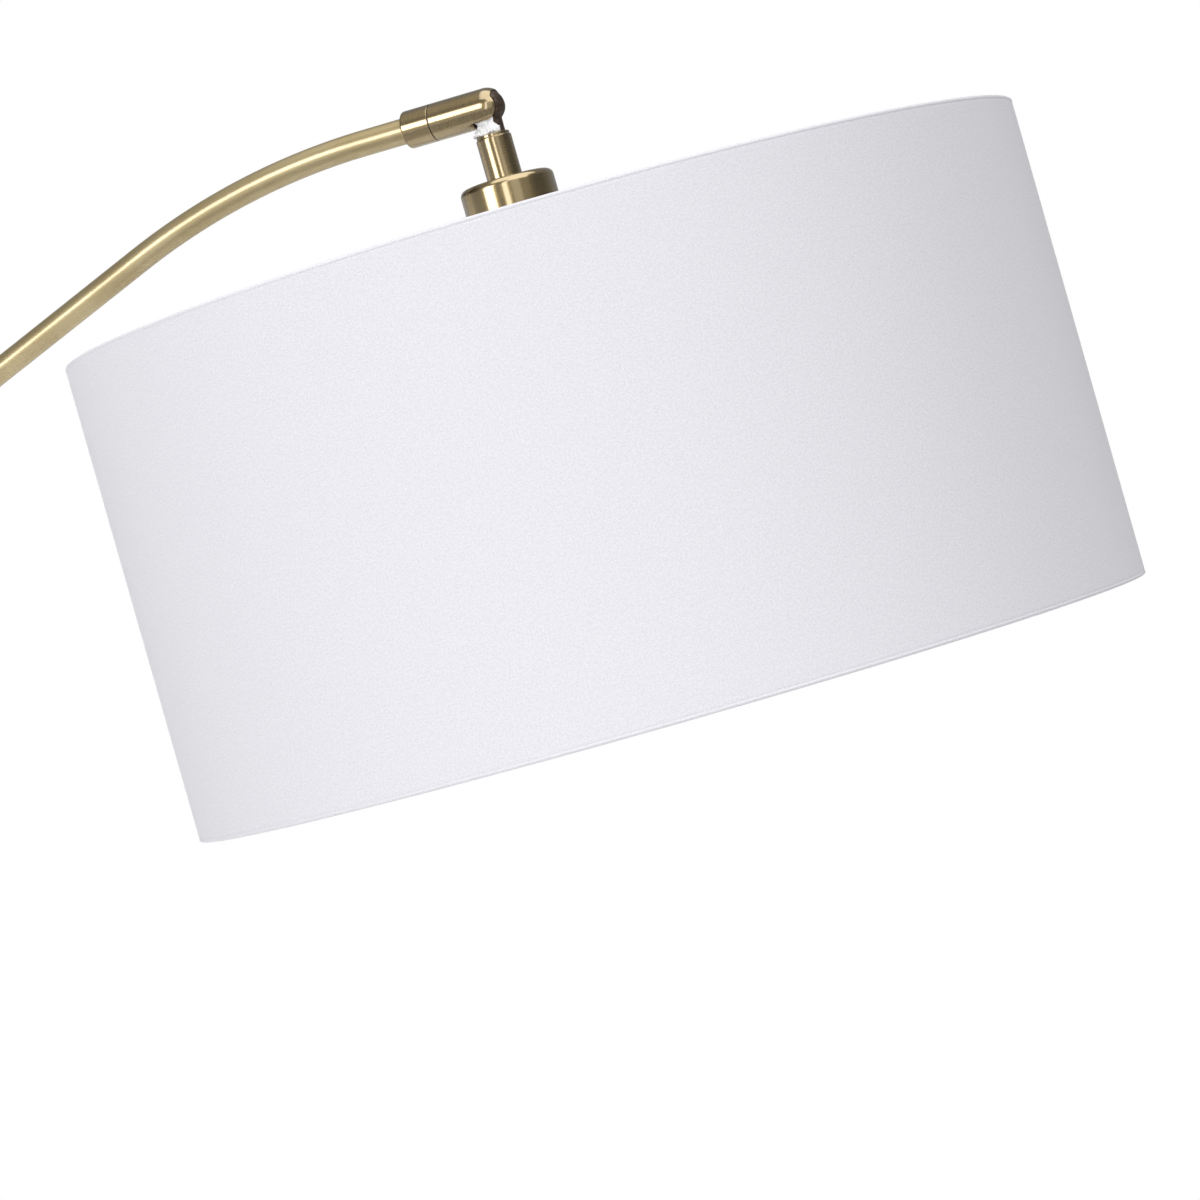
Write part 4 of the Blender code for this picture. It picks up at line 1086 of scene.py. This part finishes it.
def make_socket():
    radius, skirt, mouth = 0.0170, 0.0160, 0.0142
    section = soften(
        [
            (0.0046, SOCKET_TOP), (radius, SOCKET_TOP), (radius, SOCKET_FLANGE + 0.0008),
            (0.0188, SOCKET_FLANGE), (0.0205, SOCKET_FLANGE), (0.0205, SOCKET_FLANGE - 0.0020),
            (skirt, SOCKET_FLANGE - 0.0020), (skirt, SOCKET_BOTTOM), (mouth, SOCKET_BOTTOM),
            (mouth, SOCKET_FLOOR), (0.0046, SOCKET_FLOOR),
        ],
        [0, 0.001, 0.0004, 0.0004, 0.0005, 0.0005, 0, 0.0008, 0.0004, 0, 0],
    )

    ribs = 36

    def ribbed(angle, radii, height):
        on_wall = (np.abs(radii - radius) < 1e-5) & (height < SOCKET_TOP - 0.002)
        return np.where(on_wall, -0.00025 * (0.5 + 0.5 * np.cos(ribs * angle)) ** 2, 0.0)

    body = turned("socket", section, PHENOLIC, NECK, 288, ribbed)
    cut(body, rod_mesh(0.0023, 0.0120, 0.0200, turn=KNOB_HOLE, sides=40))
    shade_smooth(body.data)
    ride_for(body, "socket_body")

    grip, lip, clear = 0.0212, 0.0226, skirt + GAP
    top = PLATE_TOP - PLATE - GAP
    ring = soften(
        [
            (clear, top), (lip, top), (lip, top - 0.0016), (grip, top - 0.0026),
            (grip, top - 0.0085), (grip - 0.0008, top - 0.0093), (clear, top - 0.0093),
        ],
        [0, 0.0004, 0.0004, 0.0004, 0.0006, 0.0004, 0.0003],
    )
    teeth = 40

    def knurled(angle, radii, height):
        held = (radii > grip - 0.0001) & (height < top - 0.0024) & (height > top - 0.0090)
        return np.where(held, -0.0005 * np.clip(np.cos(teeth * angle), -0.3, 1.0), 0.0)

    ride_for(turned("ring_nut", ring, NYLON, NECK, 320, knurled, 50.0), "shade_retaining_ring")


def make_knob():
    flutes = 8
    section = soften(
        [
            (0.0, 0.0370), (0.0042, 0.0370), (0.0052, 0.0362), (0.0056, 0.0300),
            (0.0050, 0.0242), (0.0044, 0.0234), (0.0023, 0.0234), (0.0023, 0.0303),
            (0.0, 0.0303),
        ],
        [0, 0.0006, 0.0006, 0.002, 0.0006, 0.0004, 0.0002, 0, 0],
        closed=False,
    )

    def fluted(angle, radii, height):
        deep = np.clip((radii - 0.0040) / 0.0012, 0.0, 1.0) * (height > 0.0255)
        return -0.0008 * deep * np.clip(np.cos(flutes * angle), 0.0, 1.0) ** 1.5

    knob = turned("switch_grip", section, BLACK, KNOB, 192, fluted, 50.0)
    ride_for(knob, "switch_knob")


def make_bulb():
    neck, globe, wall = 0.0122, 0.0300, 0.0008
    cap_bottom, globe_middle = SOCKET_BOTTOM - 0.0010, -0.1400
    neck_top, neck_end = cap_bottom + 0.012, cap_bottom - 0.002

    def side(shrink):
        points = [(neck - shrink, neck_top)]
        for i in range(25):
            share = i / 24
            radius = neck + (globe - neck) * (1 - math.cos(math.pi * share)) / 2
            points.append((radius - shrink, neck_end + (globe_middle - neck_end) * share))
        for i in range(1, 21):
            angle = math.pi / 2 * i / 20
            points.append(
                (
                    (globe - shrink) * math.cos(angle),
                    globe_middle - (globe - shrink) * math.sin(angle),
                )
            )
        points[-1] = (0.0, points[-1][1])
        return points

    ride_for(turned("bulb", side(wall)[::-1] + side(0.0), GLASS, NECK, 96), "bulb_glass")


# ---------------------------------------------------------------- shade

def make_shade():
    """The cloth: a drum stretched on the liner, turned in over both hoops, with one lapped seam."""
    fold = RING_WIRE + GAP + CLOTH

    def over(top):
        """Outer points of the turned-in edge, from the outside wall to its hidden end."""
        sign = 1 if top else -1
        edge = SHADE_TOP if top else SHADE_BOTTOM
        points = [(SHADE_RADIUS - back, edge - sign * inset) for back, inset in ROLL]
        for i in range(1, 7):
            angle = math.pi / 2 * (1 + i / 6)
            height = RING_INSET * (1 - math.sin(angle))
            points.append((RING_RADIUS + fold * math.cos(angle), edge - sign * height))
        points.append((RING_RADIUS - fold, edge - sign * TURN_IN))
        return points

    wall_count = 26
    low, high = SHADE_BOTTOM + EDGE_ZONE, SHADE_TOP - EDGE_ZONE
    face = SHADE_RADIUS - SUNK
    wall = [(face, low + (high - low) * i / wall_count) for i in range(wall_count + 1)]
    outside = over(False)[::-1] + wall + over(True)
    outside = [Vector(p) for p in outside]
    inside = []
    for i, point in enumerate(outside):
        before, after = outside[max(i - 1, 0)], outside[min(i + 1, len(outside) - 1)]
        run = (after - before).normalized()
        inside.append(point + Vector((-run.y, run.x)) * CLOTH)
    profile = outside + inside[::-1]

    lap = SEAM_LAP / SHADE_RADIUS

    def lapped(angle, radii, height):
        turn = (angle - SEAM_ANGLE + math.pi) % (2 * math.pi) - math.pi
        rise = np.clip((turn + lap / 2) / (0.25 * lap), 0, 1) * (turn < lap / 2)
        wave = 0.00008 * np.sin(5 * angle + 9 * height) + 0.00005 * np.sin(13 * angle + 1)
        outer = radii > SHADE_RADIUS - 0.0012
        return np.where(outer, 0.00042 * rise + wave, 0.0)

    cloth = turned("shade_cloth", profile, LINEN, SHADE, SHADE_STEPS, lapped)
    ride_for(cloth, "shade_fabric")

    liner = SHADE_RADIUS - CLOTH - GAP
    edge = 0.0006
    section = [
        (liner, SHADE_TOP - edge), (liner, SHADE_BOTTOM + edge),
        (liner - CLOTH, SHADE_BOTTOM + edge), (liner - CLOTH, SHADE_TOP - edge),
    ]
    film = turned("shade_lining", section, STYRENE, SHADE, SHADE_STEPS)
    ride_for(film, "shade_liner")

    hoop = hoop_bar("bottom_hoop", SHADE_BOTTOM + RING_INSET)
    ride_for(hoop, "shade_bottom_ring")
    make_spider()


def hoop_bar(name, height):
    points = [
        (SHADE_OFF_CENTRE + RING_RADIUS * math.cos(a), RING_RADIUS * math.sin(a), height)
        for a in (2 * math.pi * i / 240 for i in range(240))
    ]
    return bar(name, points, RING_WIRE, PAINTED_WIRE, NECK, 16, closed_path=True)


def make_spider():
    """The shade's frame: a pressed plate, three bent spokes and the top hoop, with welds."""
    inner, outer, plate_low = 0.0163, 0.0262, PLATE_TOP - PLATE
    plate = soften(
        [(outer, PLATE_TOP), (outer, plate_low), (inner, plate_low), (inner, PLATE_TOP)],
        0.0005,
    )
    parts = [turned("plate", plate, PAINTED_WIRE, NECK, 96)]
    hoop_height = SHADE_TOP - RING_INSET
    parts.append(hoop_bar("hoop", hoop_height))
    plate_middle = PLATE_TOP - PLATE / 2
    rise = [  # how far in from the hoop, and how high
        (0.060, plate_middle), (0.030, plate_middle), (0.018, plate_middle + 0.0008),
        (0.010, plate_middle + 0.0030), (0.0035, hoop_height - 0.0022),
        (0.0008, hoop_height - 0.0004),
    ]
    centre = Vector((SHADE_OFF_CENTRE, 0.0, 0.0))
    for i in range(3):
        angle = math.pi / 2 + 2 * math.pi * i / 3
        ray = Vector((math.cos(angle), math.sin(angle), 0.0))
        points = [ray * (outer - 0.0027) + Vector((0.0, 0.0, plate_middle))]
        points += [
            centre + ray * (RING_RADIUS - inward) + Vector((0.0, 0.0, z)) for inward, z in rise
        ]
        parts.append(bar(f"spoke_{i}", smooth_path(points), 0.0015, PAINTED_WIRE, NECK, 16))
        at_plate = ray * (outer - 0.0002) + Vector((0.0, 0.0, plate_middle + 0.0004))
        at_hoop = centre + ray * (RING_RADIUS - 0.0012) + Vector((0.0, 0.0, hoop_height - 0.0008))
        parts.append(weld_bead(f"plate_bead_{i}", at_plate, 0.0021))
        parts.append(weld_bead(f"hoop_bead_{i}", at_hoop, 0.0023))
    ride_for(joined("shade_frame", parts), "shade_spider")


def weld_bead(name, at, size):
    """A lumpy blob of weld under the paint."""
    form = bmesh.new()
    bmesh.ops.create_icosphere(form, subdivisions=3, radius=size)
    for vertex in form.verts:
        lump = 1 + 0.22 * noise.noise(vertex.co * 700 + at * 50)
        vertex.co = vertex.co * lump + at
    return place_piece(name, mesh_of(name, form), PAINTED_WIRE, NECK)


# ---------------------------------------------------------------- the frame's own parts


def finish_cad_nodes():
    """The CAD nodes that stay: hardware whose shape is already right, in the same finishes."""
    for name, obj in frame["nodes"].items():
        material = SLOT_MATERIALS[SLOT_OF[name]]
        for slot in obj.material_slots:
            slot.material = material


# ---------------------------------------------------------------- camera, light and floor

def view_axes():
    azimuth, elevation = VIEW_AZIMUTH, VIEW_ELEVATION
    forward = Vector(
        (
            -math.sin(azimuth) * math.cos(elevation),
            math.cos(azimuth) * math.cos(elevation),
            -math.sin(elevation),
        )
    )
    right = Vector((math.cos(azimuth), math.sin(azimuth), 0.0))
    return right, right.cross(forward), forward


def make_camera():
    right, up, forward = view_axes()
    data = bpy.data.cameras.new("camera")
    data.lens = LENS
    data.sensor_width = 36.0
    camera = bpy.data.objects.new("camera", data)
    bpy.context.scene.collection.objects.link(camera)
    at = PIN + CAMERA_RIGHT * right - CAMERA_DOWN * up - CAMERA_BACK * forward
    camera.matrix_world = frame_of(right, up, -forward, at)
    data.clip_end = 100.0
    bpy.context.scene.camera = camera


def toward(azimuth, elevation):
    """A direction, by azimuth to the right of the camera's own and elevation, in degrees."""
    a, e = VIEW_AZIMUTH + math.radians(azimuth), math.radians(elevation)
    return Vector((math.sin(a) * math.cos(e), -math.cos(a) * math.cos(e), math.sin(e)))


def soft_box(g, direction, azimuth, elevation, half_width, half_height, edge=0.12):
    """The share, 0 to 1, of a soft-edged rectangle of light seen in a direction."""
    middle = toward(azimuth, elevation)
    right = Vector((0.0, 0.0, 1.0)).cross(middle).normalized()
    up = middle.cross(right)
    ahead = g.math("MAXIMUM", g.dot(direction, tuple(middle)), 0.001)
    shares = []
    for axis, half in ((right, half_width), (up, half_height)):
        size = math.tan(math.radians(half))
        offset = g.math("ABSOLUTE", g.math("DIVIDE", g.dot(direction, tuple(axis)), ahead))
        shares.append(g.ramp(offset, size * (1 - edge), size * (1 + edge), 1.0, 0.0))
    front = g.ramp(ahead, 0.02, 0.1)
    return g.math("MULTIPLY", front, g.math("MULTIPLY", *shares))


def make_world():
    """A studio of soft boxes between dark sides. The camera itself sees plain white."""
    world = bpy.data.worlds.new("studio")
    world.use_nodes = True
    world.node_tree.nodes.clear()
    g = Graph(world.node_tree)
    direction = g.coordinate("Generated")
    height = g.node("ShaderNodeSeparateXYZ", None, {0: direction}).outputs[2]
    glow = g.blend(g.ramp(height, 0.30, 0.75), SIDE_GREY, CEILING)
    for azimuth, level, wide in DARK_SIDES:
        facing = g.dot(direction, tuple(toward(azimuth, 0)))
        glow = g.blend(g.ramp(facing, wide, 0.96), glow, level)
    behind = g.dot(direction, tuple(toward(180, 0)))
    glow = g.blend(g.ramp(behind, 0.84, 0.96), glow, BACKDROP)
    glow = g.blend(g.ramp(height, -0.02, -0.28), glow, FLOOR_FAR)
    glow = g.blend(g.ramp(height, -0.60, -0.95), glow, FLOOR_NEAR)
    for level, box in SOFT_BOXES:
        glow = g.math("MAXIMUM", glow, g.math("MULTIPLY", soft_box(g, direction, *box), level))
    studio = g.node("ShaderNodeBackground", None, {"Color": (1.0, 0.99, 0.985), "Strength": glow})
    plain = g.node("ShaderNodeBackground", None, {"Color": (1.0, 1.0, 1.0), "Strength": 1.0})
    seen = g.node("ShaderNodeLightPath").outputs["Is Camera Ray"]
    both = g.node("ShaderNodeMixShader", None, {0: seen, 1: studio.outputs[0], 2: plain.outputs[0]})
    g.node("ShaderNodeOutputWorld", None, {0: both.outputs[0]})
    bpy.context.scene.world = world


def make_floor():
    form = bmesh.new()
    bmesh.ops.create_circle(form, cap_ends=True, segments=128, radius=4.0)
    mesh = mesh_of("studio_floor", form)
    floor = bpy.data.objects.new("studio_floor", mesh)
    bpy.context.scene.collection.objects.link(floor)
    mesh.materials.append(studio_floor("pale_floor", 1.2, 3.6))


make_camera()
make_world()
make_floor()
make_base()
make_pole()
make_arm()
make_knuckle()
make_tongue()
make_neck()
make_cup()
make_socket()
make_knob()
make_bulb()
make_shade()
finish_cad_nodes()
bpy.context.scene.view_settings.view_transform = "Standard"
